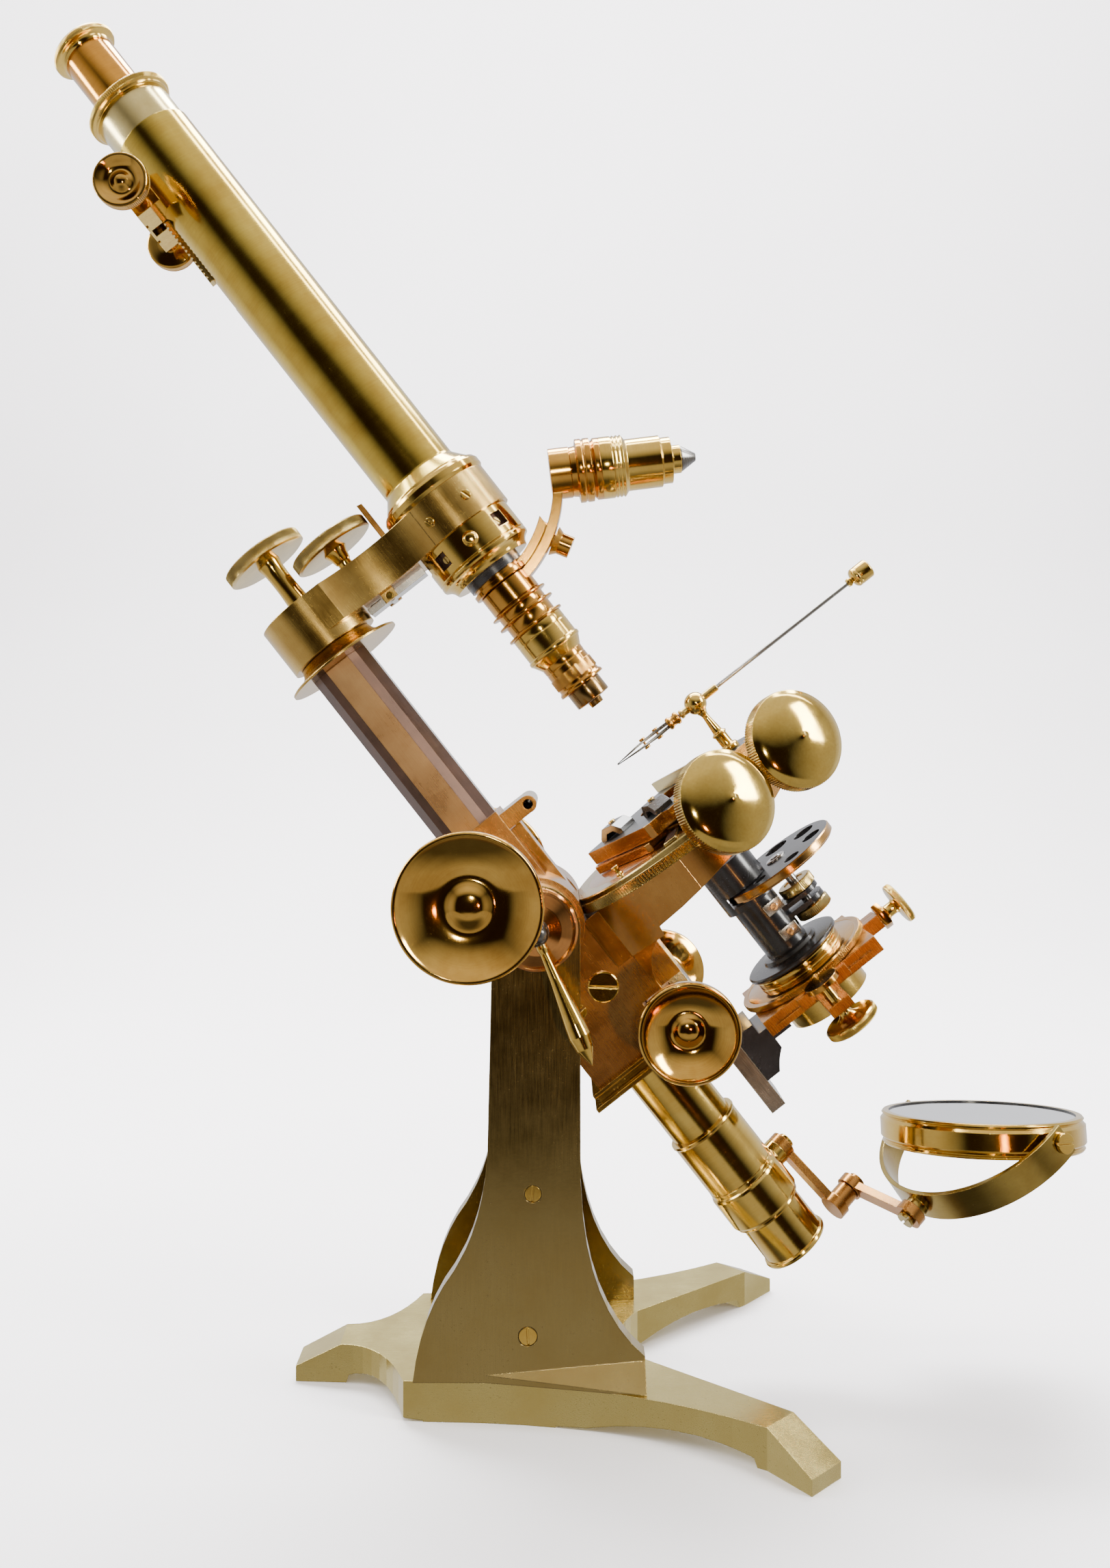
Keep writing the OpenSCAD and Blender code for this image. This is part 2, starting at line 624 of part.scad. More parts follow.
module stage_plate(half, z) {
    intersection() {
        block([-half[0], -half[1], z[0]], [half[0], half[1], z[1]]);
        rod(corner_r, z[0] - 1, z[1] + 1);
    }
}
module stage_ring() {
    stage_frame() color(olive) {
        difference() {
            union() {
                rod(ring_r, ring_z[0], ring_z[1]);
                rod(ring_r - 1.2, ring_z[1], disc_z);
                rod(30, -24, ring_z[0]);
                // bearings of the two milled-head shafts
                for (s = [-1, 1]) block([s * stage_knob_gap - 4.5, -52, disc_z - 0.2],
                    [s * stage_knob_gap + 4.5, -46, 2.4]);
            }
            rod(22, -30, 5);
            for (s = [-1, 1]) across([s * stage_knob_gap, stage_knob_z], 2 + run, -60, -40);
            for (s = [-1, 1]) across([s * stage_knob_gap, stage_knob_z], 2.6, -60, -52);
        }
        translate([-46, -14, disc_z])
            turned([[0, 0], [1.6, 0], [1, 1], [1, 2.6], [1.6, 3.4], [1.6, 4], [0, 4]]);
        rotate([0, 0, -128]) block([40, -3, disc_z], [56, 3, disc_z + 1.5]);
    }
}
notch_half = 14.6; // lets the lower plate travel past the shafts
module stage_lower_plate() {
    stage_frame() color(copper) difference() {
        stage_plate(plate_half + [2, 2], lower_z);
        rod(17, -6, 2);
        for (s = [-1, 1]) block([s * stage_knob_gap - notch_half, -40, -6],
            [s * stage_knob_gap + notch_half, -20, 1]);
    }
}
module stage_upper_plate() {
    stage_frame() color(copper) difference() {
        union() {
            stage_plate(plate_half + [-1, 1], upper_z);
            block([-24, -38, 2.8], [24, -30, upper_z[1]]);
        }
        rod(15, -2, 8);
        translate([forceps_at[0], forceps_at[1], 0]) rod(1.5 + run, 0.8, 8);
    }
}
module spring_clip(x, y, turn) {
    translate([x, y, upper_z[1]]) rotate([0, 0, turn]) rotate([90, 0, 0]) translate([0, 0, -4])
        linear_extrude(8) polygon([[-8, 0.1], [-8, 2], [-4, 5], [4, 5.4], [9, 1.6], [9, 0.1], [6, 0.1],
            [3, 2.6], [-2, 2.6], [-5, 0.1]]);
}
module stage_clips() {
    stage_frame() color(black) { spring_clip(-23, 12, 100); spring_clip(-20, -24, 80); }
}
module slide_bar() {
    stage_frame() color(olive) {
        block([12, -24, upper_z[1] + slip], [20, 31, upper_z[1] + 2.2]);
        block([12, -24, upper_z[1] + 2.1], [13.4, 31, upper_z[1] + 5]);
    }
}
module domed_head() {
    turned([[0, 0], [4, 0], [5, 2], [stage_knob_r - 0.7, 2.4], [stage_knob_r, 3.2], [stage_knob_r, 8.6],
        [stage_knob_r - 0.9, 9.4], [14.5, 11.4], [8, 13.2], [1.6, 14], [0, 14.8]]);
}
// A milled head on its shaft: the shaft thins where it runs between the plates
module stage_head() {
    color(steel) {
        across([0, stage_knob_z], 2, -stage_knob_out + 14, -40.5);
        across([0, stage_knob_z], 2.55, -55, -52.2);
        across([0, stage_knob_z], 1.8, -41, -22);
    }
    color(gold) translate([0, -stage_knob_out + 14.8, stage_knob_z]) facing_front() domed_head();
}
module stage_rack_knob() { stage_frame() translate([-stage_knob_gap, 0, 0]) stage_head(); }
module stage_screw_knob() { stage_frame() translate([stage_knob_gap, 0, 0]) stage_head(); }

// Stage forceps, on the upper plate's near right corner
forceps_at = [19.9, -29.2];
ball_z = 29.5;
module forceps_frame() {
    stage_frame() translate([forceps_at[0], forceps_at[1], 0]) rotate([0, 0, -stage_turn]) children();
}
module forceps_post() {
    forceps_frame() color(gold) difference() {
        union() {
            rod(1.5, 1, upper_z[1] + 1);
            turned([[0, upper_z[1] + slip], [4, upper_z[1] + slip], [4, 8], [2.6, 8.4], [2.6, 13.5],
                [3, 14], [2.2, 15], [1.6, 22], [2.2, 24], [0, 24]]);
            block([-1.4, -3, 23.4], [1.4, 3, 24.6]);
            // cheeks that hold the clip's pivots
            both_sides() block([-1.4, 2, 24.5], [1.4, 3, ball_z + 1.9]);
        }
        across([0, ball_z], 1 + run, -8, 8);
    }
}
module forceps_clip() {
    forceps_frame() color(gold) translate([0, 0, ball_z]) difference() {
        union() {
            across([0, 0], 4.6, -1.8, 1.8);
            both_sides() facing_front() rod(1, 1.5, 3.1);
            rotate([0, 90, 0]) rod(1.7, -7, 11);
        }
        rotate([0, 90, 0]) rod(0.85 + run, -12, 14);
    }
}
module forceps_rod() {
    forceps_frame() translate([0, 0, ball_z]) rotate([0, 90, 0]) {
        color(steel) rod(0.85, -14, 78);
        color(gold) {
            turned([[0, 78], [1.6, 78], [1.9, 79.4], [1.2, 80.4], [3.4, 81], [4, 82],
                [4, 88], [3.4, 89], [0, 89]]);
            turned([[0, -14], [2.7, -14], [2.7, -8], [0.8, -7.4], [0, -7.4]]);
        }
    }
    forceps_frame() color(steel) translate([0, 0, ball_z]) for (s = [0.6, -1.4])
        block([-40, -1.2, s], [-13.5, 1.2, s + 0.8]);
}

// ---- substage ----

carrier_z = [-92.7, -86];
carrier_half = 28;
toothed_r = 30;
ring_pinion_r = 7.4;
ring_pinion_y = -(toothed_r + ring_pinion_r + 0.5);

module substage_slide() {
    limb_frame() {
        color(steel) difference() {
            block([slide_x[0], -12, -122], [slide_x[1], 12, -36]);
            for (z = [-121:2.5:-38]) block([slide_x[0] - 1, -5, z], [slide_x[0] + 0.8, 5, z + 1.2]);
        }
        color(black) difference() {
            union() {
                block([slide_x[1], -13, -110], [46, 13, -88]);
                block([45.8, -16, -97.5], [optic_x - 19.5, 16, carrier_z[0]]);
            }
            across([62, -124], 26.6, -20, 20);
            translate([optic_x, 0, 0]) rod(20.5, -120, -80);
            block([42, -20, carrier_z[0]], [50, 20, -80]);
        }
    }
}
module substage_carrier() {
    optical() color(copper) difference() {
        union() {
            block([-carrier_half, -carrier_half, carrier_z[0]], [carrier_half, carrier_half, carrier_z[1]]);
            rod(18.5, -103.3, carrier_z[0]);
            block([-12, -carrier_half - 1.5, -92], [12, -carrier_half + 1, -87]);
            block([-5, ring_pinion_y - 5, -97.5], [5, -carrier_half, -93.2]);
            block([-5, -carrier_half - 4, -93.4], [5, -carrier_half, -88]);
            translate([0, ring_pinion_y, 0]) rod(5, -97.5, -93.2);
            block([carrier_half, -5, -92.5], [36.5, 5, -86.5]);
        }
        rod(16.5, -104, -93.6);
        rod(16 + run, -110, -80);
        translate([0, ring_pinion_y, 0]) rod(2 + run, -100, -80);
        translate([0, 0, -89.5]) rotate([0, 90, 0]) rod(2.8 + run, 20, 40);
        for (s = [-1, 1]) block([s * 17 - 7, -carrier_half - 1, -90], [s * 17 + 7, -carrier_half + 2, -89.4]);
    }
}
module substage_ring() {
    optical() color(copper) difference() {
        union() {
            rod(toothed_r, carrier_z[1] + slip, -83.4);
            rod(20, -83.4, -78.6);
            rod(16, -92.5, carrier_z[1] + slip);
        }
        rod(14, -95, -70);
    }
}
module ring_pinion() {
    optical() translate([0, ring_pinion_y, 0]) color(gold) {
        rod(2, -99.5, -83.6);
        rod(ring_pinion_r, carrier_z[1] + slip, -83.6);
        turned([[0, -105.5], [10.6, -105.5], [11.2, -104.9], [11.2, -102.4], [10.4, -101.8], [4.6, -101.4],
            [2.6, -99], [2.8, -97.7], [0, -97.7]]);
    }
}
module centring_screw() {
    optical() translate([0, 0, -89.5]) rotate([0, 90, 0]) {
        color(steel) rod(2.8, carrier_half - 4, 37);
        color(gold) {
            turned([[0, 36.8], [6, 36.8], [6, 40], [3, 40.4], [2.8, 45.4], [8.4, 45.8], [9, 46.4],
                [9, 48.4], [8.4, 49], [0, 49]]);
        }
    }
}
module condenser() {
    optical() color(black) difference() {
        union() {
            turned([[0, -78.4], [21, -78.4], [21.7, -77.8], [21.7, -76.8], [21, -76.4], [13, -76],
                [12.4, -74.6],
                [9.7, -74.2], [9.7, -50.6], [12, -50.4], [12, -30], [0, -30]]);
            rod(13.95, -92, -78.4);
            // two lugs that hold the aperture wheel's pivot
            for (z = [-61.6, -65.6]) difference() {
                hull() { rod(6, z, z + 2); translate([wheel_off, 0, 0]) rod(7.4, z, z + 2); }
                rod(9, z - 1, z + 3);
            }
        }
        rod(8, -95, -20);
        translate([wheel_off, 0, 0]) rod(2.2 + run, -70, -55);
        block([-8.7, -14, -47.6], [20, 14, -42.8]);
    }
}
module aperture_wheel() {
    optical() translate([wheel_off, 0, 0]) {
        color(copper) difference() {
            union() { rod(wheel_r, -46.6, -43.2); rod(wheel_r - 1.2, -47.2, -46.4); }
            for (i = [0:6]) rotate([0, 0, 180 + i * 360 / 7])
                translate([wheel_off, 0, 0]) rod(2.4 + i * 0.65, -50, -40);
        }
        color(gold) {
            rod(2.2, -71, -45);
            rod(8, -59.4, -55);
            rod(8, -70.6, -66.2);
        }
    }
}
module substage_pinion() {
    limb_frame() translate([substage_at[0], 0, substage_at[1]]) {
        color(steel) { facing_front() rod(2.2, -50, 50); facing_front() rod(substage_pinion_r, -6, 6); }
        color(gold) both_sides() facing_front() translate([0, 0, substage_out - 12.4])
            dished_head(substage_knob_r, 12.4);
    }
}

// ---- mirror, built outwards from the tail tube ----

link_t = 4.2;
sleeve_pin = [21.5, 0, -142.3];   // upper pivot
elbow_pin = [22.2, -7.5, -173.3]; // pivot between the links
fork_pin = [32.7, -38.1, -184.8]; // pivot that carries the fork

module outward(at) { translate(at) rotate([0, 90, 0]) children(); }
collar_r = 14.8; // the part of the sleeve that the collar turns on
module mirror_sleeve() {
    mirror_frame() color(gold) difference() {
        turned([[0, -155.4], [14.9, -155.4], [15.4, -154.9], [15.2, -154], [collar_r, -154],
            [collar_r, -136.2], [15.3, -136.2], [15.3, -112.4], [15.8, -111.8], [15.6, -110.8], [0, -110.8]]);
        rod(tail_r + run, -160, -100);
    }
}
module mirror_collar() {
    mirror_frame() color(gold) {
        difference() {
            union() {
                turned([[0, -153.8], [15.8, -153.8], [16.3, -152.8], [16.3, -139.6], [15.9, -138.6],
                    [15.4, -138.2], [15.4, -136.4], [0, -136.4]]);
                outward([12, 0, sleeve_pin[2]]) {
                    rod(5.6, 0, upper_link_x - 12 - slip);
                    rod(1.8, 0, upper_link_x + link_t + 0.4 - 12);
                }
            }
            rod(collar_r + run, -160, -100);
        }
        pin_head(sleeve_pin, upper_link_x + link_t + slip);
    }
}
// A link between two pivots: the plate lies square to the outward direction
module link(a, b, x) {
    at = [x, 0, 0];
    difference() {
        union() {
            for (p = [a, b]) outward([x, p[1], p[2]]) rod(5.5, 0, link_t);
            d = b - a;
            len = sqrt(d[1] * d[1] + d[2] * d[2]);
            translate([x, a[1], a[2]]) rotate([atan2(d[2], d[1]), 0, 0])
                block([0.4, 0, -2.9], [link_t - 0.4, len, 2.9]);
        }
        for (p = [a, b]) outward([x - 1, p[1], p[2]]) rod(1.8 + run, 0, link_t + 2);
    }
}
module pin_head(at, x) {
    outward([x, at[1], at[2]]) difference() { rod(3.4, 0, 1.8); driver_slot(3.4, 1.8, 0.9); }
}
upper_link_x = sleeve_pin[0] - link_t / 2;
lower_link_x = fork_pin[0] - link_t / 2;
module upper_link() {
    mirror_frame() color(copper) {
        link(sleeve_pin, elbow_pin, upper_link_x);
        // elbow pin, fast in the upper link
        outward([upper_link_x, elbow_pin[1], elbow_pin[2]]) {
            rod(4.6, 0, lower_link_x - upper_link_x - slip);
            rod(1.8, 0, lower_link_x - upper_link_x + link_t + 0.4);
        }
        pin_head(elbow_pin, lower_link_x + link_t + slip);
    }
}
module lower_link() {
    mirror_frame() color(copper) link(elbow_pin, fork_pin, lower_link_x);
}
// Frame of the fork: origin at the mirror's centre, x outward, y along the mirror's pivots
module fork_frame() {
    mirror_frame() translate(mirror_at) rotate([fork_tilt, 0, 0]) children();
}
fork_t = 1.8;
fork_half_w = 6.2;
module mirror_fork() {
    fork_frame() color(gold) {
        difference() {
            rod(fork_r + fork_t, -fork_half_w, fork_half_w);
            rod(fork_r, -fork_half_w - 1, fork_half_w + 1);
            block([3, -60, -20], [60, 60, 20]);
            both_sides() across([0, 0], 2 + run, -60, -30);
        }
        outward([-fork_r - fork_t, 0, 0]) {
            rod(4.4, -(mirror_at[0] - lower_link_x - link_t - fork_r - fork_t) + slip, 0.6);
            rod(1.8, -(mirror_at[0] - lower_link_x - fork_r - fork_t) - 0.4, 0.5);
        }
        outward([-(mirror_at[0] - lower_link_x) - 2, 0, 0]) difference() {
            rod(3.4, 0, 1.8);
            rotate([0, 0, 60]) driver_slot(3.4, 0.1, 0.9);
        }
    }
}
module cell_frame() { fork_frame() rotate([0, mirror_tilt, 0]) children(); }
module mirror_cell() {
    head_y = fork_r + fork_t + slip;
    cell_frame() color(gold) difference() {
        union() {
            turned([[0, -6.6], [39.6, -6.6], [40.2, -5.8], [39.4, -5], [mirror_r, -3.4],
                [mirror_r, 3.4], [39.4, 5], [40.2, 5.8], [39.6, 6.6], [0, 6.6]]);
            // one pivot pin right through, with a head at each end
            across([0, 0], 2, -head_y - 0.5, head_y + 0.5);
            both_sides() facing_front() rod(4, head_y, head_y + 1.5);
        }
        rod(37.2, -8, -5.2);
        rod(37.2, 4.4, 8);
        both_sides() facing_front() driver_slot(4, head_y + 1.5, 0.9);
    }
}
module mirror_glass() {
    cell_frame() color(glass) { rod(37.1, 4.4, 6); rod(37.1, -6.2, -5.2); }
}

foot();
pillars();
pillar_spacers();
pillar_screws();
trunnion_pins();
clamp_lever();
limb();
limb_base();
gib_strip();
limb_screws();
stage_bracket();
accessory_socket();
tail_tube();
coarse_pinion();
prism_bar();
coarse_rack();
bar_collar();
arm();
arm_screws();
stop_blade();
nose_box();
body_tube();
pinion_box();
arm_clamp_screw();
fine_focus_screw();
fine_focus_lever();
nose_tube();
nosepiece_ring();
nosepiece_swing();
high_power_objective();
low_power_objective();
draw_tube();
draw_pinion();
eyepiece();
eyepiece_lenses();
stage_ring();
stage_lower_plate();
stage_upper_plate();
stage_clips();
slide_bar();
stage_rack_knob();
stage_screw_knob();
forceps_post();
forceps_clip();
forceps_rod();
substage_slide();
substage_carrier();
substage_ring();
ring_pinion();
centring_screw();
condenser();
aperture_wheel();
substage_pinion();
mirror_sleeve();
mirror_collar();
upper_link();
lower_link();
mirror_fork();
mirror_cell();
mirror_glass();
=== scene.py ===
"""Looks of the brass compound microscope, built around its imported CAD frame."""
import bpy
import bmesh
import json
from math import cos, pi, radians, sin
from mathutils import Matrix, Vector


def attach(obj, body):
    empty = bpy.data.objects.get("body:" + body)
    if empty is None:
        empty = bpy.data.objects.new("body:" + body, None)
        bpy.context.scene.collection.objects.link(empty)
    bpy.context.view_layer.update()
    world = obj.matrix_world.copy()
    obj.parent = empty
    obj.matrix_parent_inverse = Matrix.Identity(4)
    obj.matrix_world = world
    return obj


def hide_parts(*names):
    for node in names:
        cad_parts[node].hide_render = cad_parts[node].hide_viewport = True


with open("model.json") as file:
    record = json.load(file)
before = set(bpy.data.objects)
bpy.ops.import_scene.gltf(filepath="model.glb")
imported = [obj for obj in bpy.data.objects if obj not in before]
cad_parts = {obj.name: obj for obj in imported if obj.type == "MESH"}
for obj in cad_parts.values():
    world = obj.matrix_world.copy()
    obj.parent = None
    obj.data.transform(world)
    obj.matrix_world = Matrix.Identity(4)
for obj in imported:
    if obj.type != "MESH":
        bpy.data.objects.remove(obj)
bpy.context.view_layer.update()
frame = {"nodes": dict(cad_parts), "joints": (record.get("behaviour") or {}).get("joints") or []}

MM = 0.001
SMOOTH_ANGLE = radians(32)   # edges sharper than this stay crisp
joints = {j["name"]: j for j in frame["joints"]}


# ---- places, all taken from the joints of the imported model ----

def unit(v):
    return Vector(v).normalized()


def basis(origin, z, x_hint):
    """A place with its z along one direction and its x as near as can be to another."""
    z = unit(z)
    y = z.cross(unit(x_hint)).normalized()
    x = y.cross(z)
    rows = Matrix((x, y, z)).transposed().to_4x4()
    return Matrix.Translation(Vector(origin)) @ rows


def shift(x=0.0, y=0.0, z=0.0):
    return Matrix.Translation(Vector((x, y, z)) * MM)


def turn(degrees, axis):
    return Matrix.Rotation(radians(degrees), 4, axis)


def joint_at(name):
    return Vector(joints[name]["pos_m"])


UP = unit(joints["coarse_focus"]["axis"])
FORWARD = Vector((0, 1, 0)).cross(UP).normalized()
LIMB = basis(joint_at("limb_tilt"), UP, FORWARD)
TO_LIMB = LIMB.inverted()


def in_limb(point):
    """A point of the row frame in the limb's frame, in millimetres."""
    return TO_LIMB @ Vector(point) / MM


OPTIC_X = in_limb(joint_at("stage_rotate")).x
OPTIC = LIMB @ shift(OPTIC_X)
APEX_Z = in_limb(joint_at("nosepiece_turn")).z
APEX = OPTIC @ shift(z=APEX_Z)
DOWN_AXIS = APEX @ turn(180, "X")          # z runs down the optical axis from the apex
SWUNG = APEX @ Matrix.Rotation(pi, 4, TO_LIMB.to_3x3() @ unit(joints["nosepiece_turn"]["axis"])) \
    @ turn(180, "X")
STAGE_X = unit(joints["stage_rack_slide"]["axis"])
STAGE = basis(OPTIC.translation, UP, STAGE_X)
STAGE_HEAD_X = 19.7                        # mm from the optical axis to each stage head
OUT = unit(joints["upper_link_turn"]["axis"])
TAIL = LIMB @ shift(-0.3)
ACROSS = turn(90, "X")                     # turns z towards the front, -Y
FORCEPS = basis(STAGE @ Vector((19.9 * MM, -29.2 * MM, 0)), UP, FORWARD)
FORK = basis(joint_at("mirror_tilt"), OUT.cross(unit(joints["mirror_tilt"]["axis"])), OUT)
MIRROR_TILT = 38.4
CELL = FORK @ turn(MIRROR_TILT, "Y")
TRUNNION = Matrix.Translation(joint_at("limb_tilt"))
WHEEL = OPTIC @ shift(in_limb(joint_at("aperture_turn")).x - OPTIC_X)


def facing(point, direction, x_hint=UP):
    return basis(point, direction, x_hint)


FRONT, BACK = Vector((0, -1, 0)), Vector((0, 1, 0))


# ---- materials ----

class Nodes:
    """A material's node tree with short calls."""

    def __init__(self, name):
        self.material = bpy.data.materials.new(name)
        self.material.use_nodes = True
        self.tree = self.material.node_tree
        self.shader = self.tree.nodes["Principled BSDF"]

    def add(self, kind, **settings):
        node = self.tree.nodes.new("ShaderNode" + kind)
        for key, value in settings.items():
            setattr(node, key, value)
        return node

    def link(self, a, b):
        self.tree.links.new(a, b)

    def math(self, operation, a, b=None, clamp=False):
        node = self.add("Math", operation=operation, use_clamp=clamp)
        for socket, value in zip(node.inputs, (a, b)):
            if value is None:
                continue
            if isinstance(value, (int, float)):
                socket.default_value = value
            else:
                self.link(value, socket)
        return node.outputs[0]

    def noise(self, vector, scale, detail=3.0, rough=0.55):
        node = self.add("TexNoise")
        node.inputs["Scale"].default_value = scale
        node.inputs["Detail"].default_value = detail
        node.inputs["Roughness"].default_value = rough
        self.link(vector, node.inputs["Vector"])
        return node.outputs["Fac"]

    def stretch(self, vector, low, high, to_low=0.0, to_high=1.0):
        node = self.add("MapRange", clamp=True)
        for key, value in zip(("From Min", "From Max", "To Min", "To Max"), (low, high, to_low, to_high)):
            node.inputs[key].default_value = value
        self.link(vector, node.inputs["Value"])
        return node.outputs["Result"]

    def mix(self, fac, a, b):
        node = self.add("Mix", data_type="RGBA")
        self.link(fac, node.inputs["Factor"])
        for socket, value in ((node.inputs[6], a), (node.inputs[7], b)):
            if hasattr(value, "links"):
                self.link(value, socket)
            else:
                socket.default_value = (*value, 1)
        return node.outputs[2]

    def place(self, matrix):
        """Object coordinates seen from a place in the row frame."""
        coords = self.add("TexCoord").outputs["Object"]
        if matrix is None:
            return coords
        mapping = self.add("Mapping", vector_type="TEXTURE")
        loc, rot, _ = matrix.decompose()
        mapping.inputs["Location"].default_value = loc
        mapping.inputs["Rotation"].default_value = rot.to_euler()
        self.link(coords, mapping.inputs["Vector"])
        return mapping.outputs["Vector"]

    def scaled(self, vector, scale):
        mapping = self.add("Mapping")
        mapping.inputs["Scale"].default_value = scale
        self.link(vector, mapping.inputs["Vector"])
        return mapping.outputs["Vector"]

    def edges(self, radius):
        """1 along edges, 0 on open faces."""
        bevel = self.add("Bevel", samples=4)
        bevel.inputs["Radius"].default_value = radius
        self.rounded = bevel.outputs["Normal"]
        normal = self.add("NewGeometry").outputs["Normal"]
        dot = self.add("VectorMath", operation="DOT_PRODUCT")
        self.link(bevel.outputs["Normal"], dot.inputs[0])
        self.link(normal, dot.inputs[1])
        return self.stretch(dot.outputs["Value"], 0.995, 0.8)


def metal(name, light, dark, rough=0.16, lay="polish", grain=0.05, spots=0.25, wear=0.35,
          place=None, coat=0.25, metallic=1.0, bump=0.05, worn=None):
    """Old lacquered metal: two tones, a grain from how it was finished, stains and worn edges."""
    n = Nodes(name)
    where = n.place(place)
    if lay == "turned":
        parts = n.add("SeparateXYZ")
        n.link(where, parts.inputs[0])
        x2 = n.math("MULTIPLY", parts.outputs[0], parts.outputs[0])
        y2 = n.math("MULTIPLY", parts.outputs[1], parts.outputs[1])
        radius = n.math("SQRT", n.math("ADD", x2, y2))
        join = n.add("CombineXYZ")
        n.link(radius, join.inputs[0])
        n.link(parts.outputs[2], join.inputs[1])
        line = n.noise(join.outputs[0], 5200, 4.0, 0.7)
    elif lay == "brushed":
        line = n.noise(n.scaled(where, (1, 1, 0.02)), 4600, 4.0, 0.7)
    elif lay == "crossed":
        line = n.noise(n.scaled(where, (0.02, 1, 1)), 4600, 4.0, 0.7)
    else:
        line = n.noise(where, 900, 5.0, 0.6)
    cloud = n.noise(where, 42, 5.0, 0.62)
    fine = n.noise(where, 760, 5.0, 0.7)
    tone = n.math("ADD", n.math("MULTIPLY", cloud, 0.75), n.math("MULTIPLY", line, 0.25))
    color = n.mix(n.stretch(tone, 0.33, 0.64), dark, light)
    stain = n.math("MULTIPLY", n.stretch(fine, 0.60, 0.74), n.stretch(cloud, 0.40, 0.66))
    stained = [c * 0.32 for c in dark]
    color = n.mix(n.math("MULTIPLY", stain, spots), color, stained)
    bright = worn or [min(1.0, c * 1.35 + 0.06) for c in light]
    edge = n.math("MULTIPLY", n.edges(0.0005), n.stretch(fine, 0.35, 0.6, 0.45, 1.0))
    color = n.mix(n.math("MULTIPLY", edge, wear), color, bright)
    n.link(color, n.shader.inputs["Base Color"])
    rough_socket = n.math("ADD", n.math("MULTIPLY", line, grain), n.math("MULTIPLY", cloud, rough * 0.7))
    rough_socket = n.math("ADD", rough_socket, rough * 0.62 - grain * 0.5)
    rough_socket = n.math("ADD", rough_socket, n.math("MULTIPLY", stain, 0.25), clamp=True)
    n.link(rough_socket, n.shader.inputs["Roughness"])
    n.shader.inputs["Metallic"].default_value = metallic
    n.shader.inputs["Coat Weight"].default_value = coat
    n.shader.inputs["Coat Roughness"].default_value = 0.08
    height = n.add("Bump")
    height.inputs["Strength"].default_value = bump
    height.inputs["Distance"].default_value = 0.0002
    n.link(n.math("ADD", line, n.math("MULTIPLY", fine, 0.5)), height.inputs["Height"])
    n.link(n.rounded, height.inputs["Normal"])
    n.link(height.outputs["Normal"], n.shader.inputs["Normal"])
    return n.material


GOLD, GOLD_DARK = (0.75, 0.52, 0.13), (0.55, 0.33, 0.055)
DEEP, DEEP_DARK = (0.66, 0.41, 0.095), (0.42, 0.21, 0.03)
GREEN_GOLD, GREEN_DARK = (0.70, 0.52, 0.10), (0.48, 0.30, 0.04)
COPPER, COPPER_DARK = (0.54, 0.27, 0.070), (0.36, 0.145, 0.028)
OLIVE, OLIVE_DARK = (0.37, 0.28, 0.105), (0.31, 0.22, 0.070)
PALE, PALE_DARK = (0.74, 0.62, 0.30), (0.52, 0.40, 0.14)
STEEL, STEEL_DARK = (0.50, 0.49, 0.48), (0.28, 0.27, 0.26)
BLACK, BLACK_DARK = (0.016, 0.015, 0.016), (0.006, 0.006, 0.007)
BRASS_UNDER = (0.20, 0.13, 0.05)

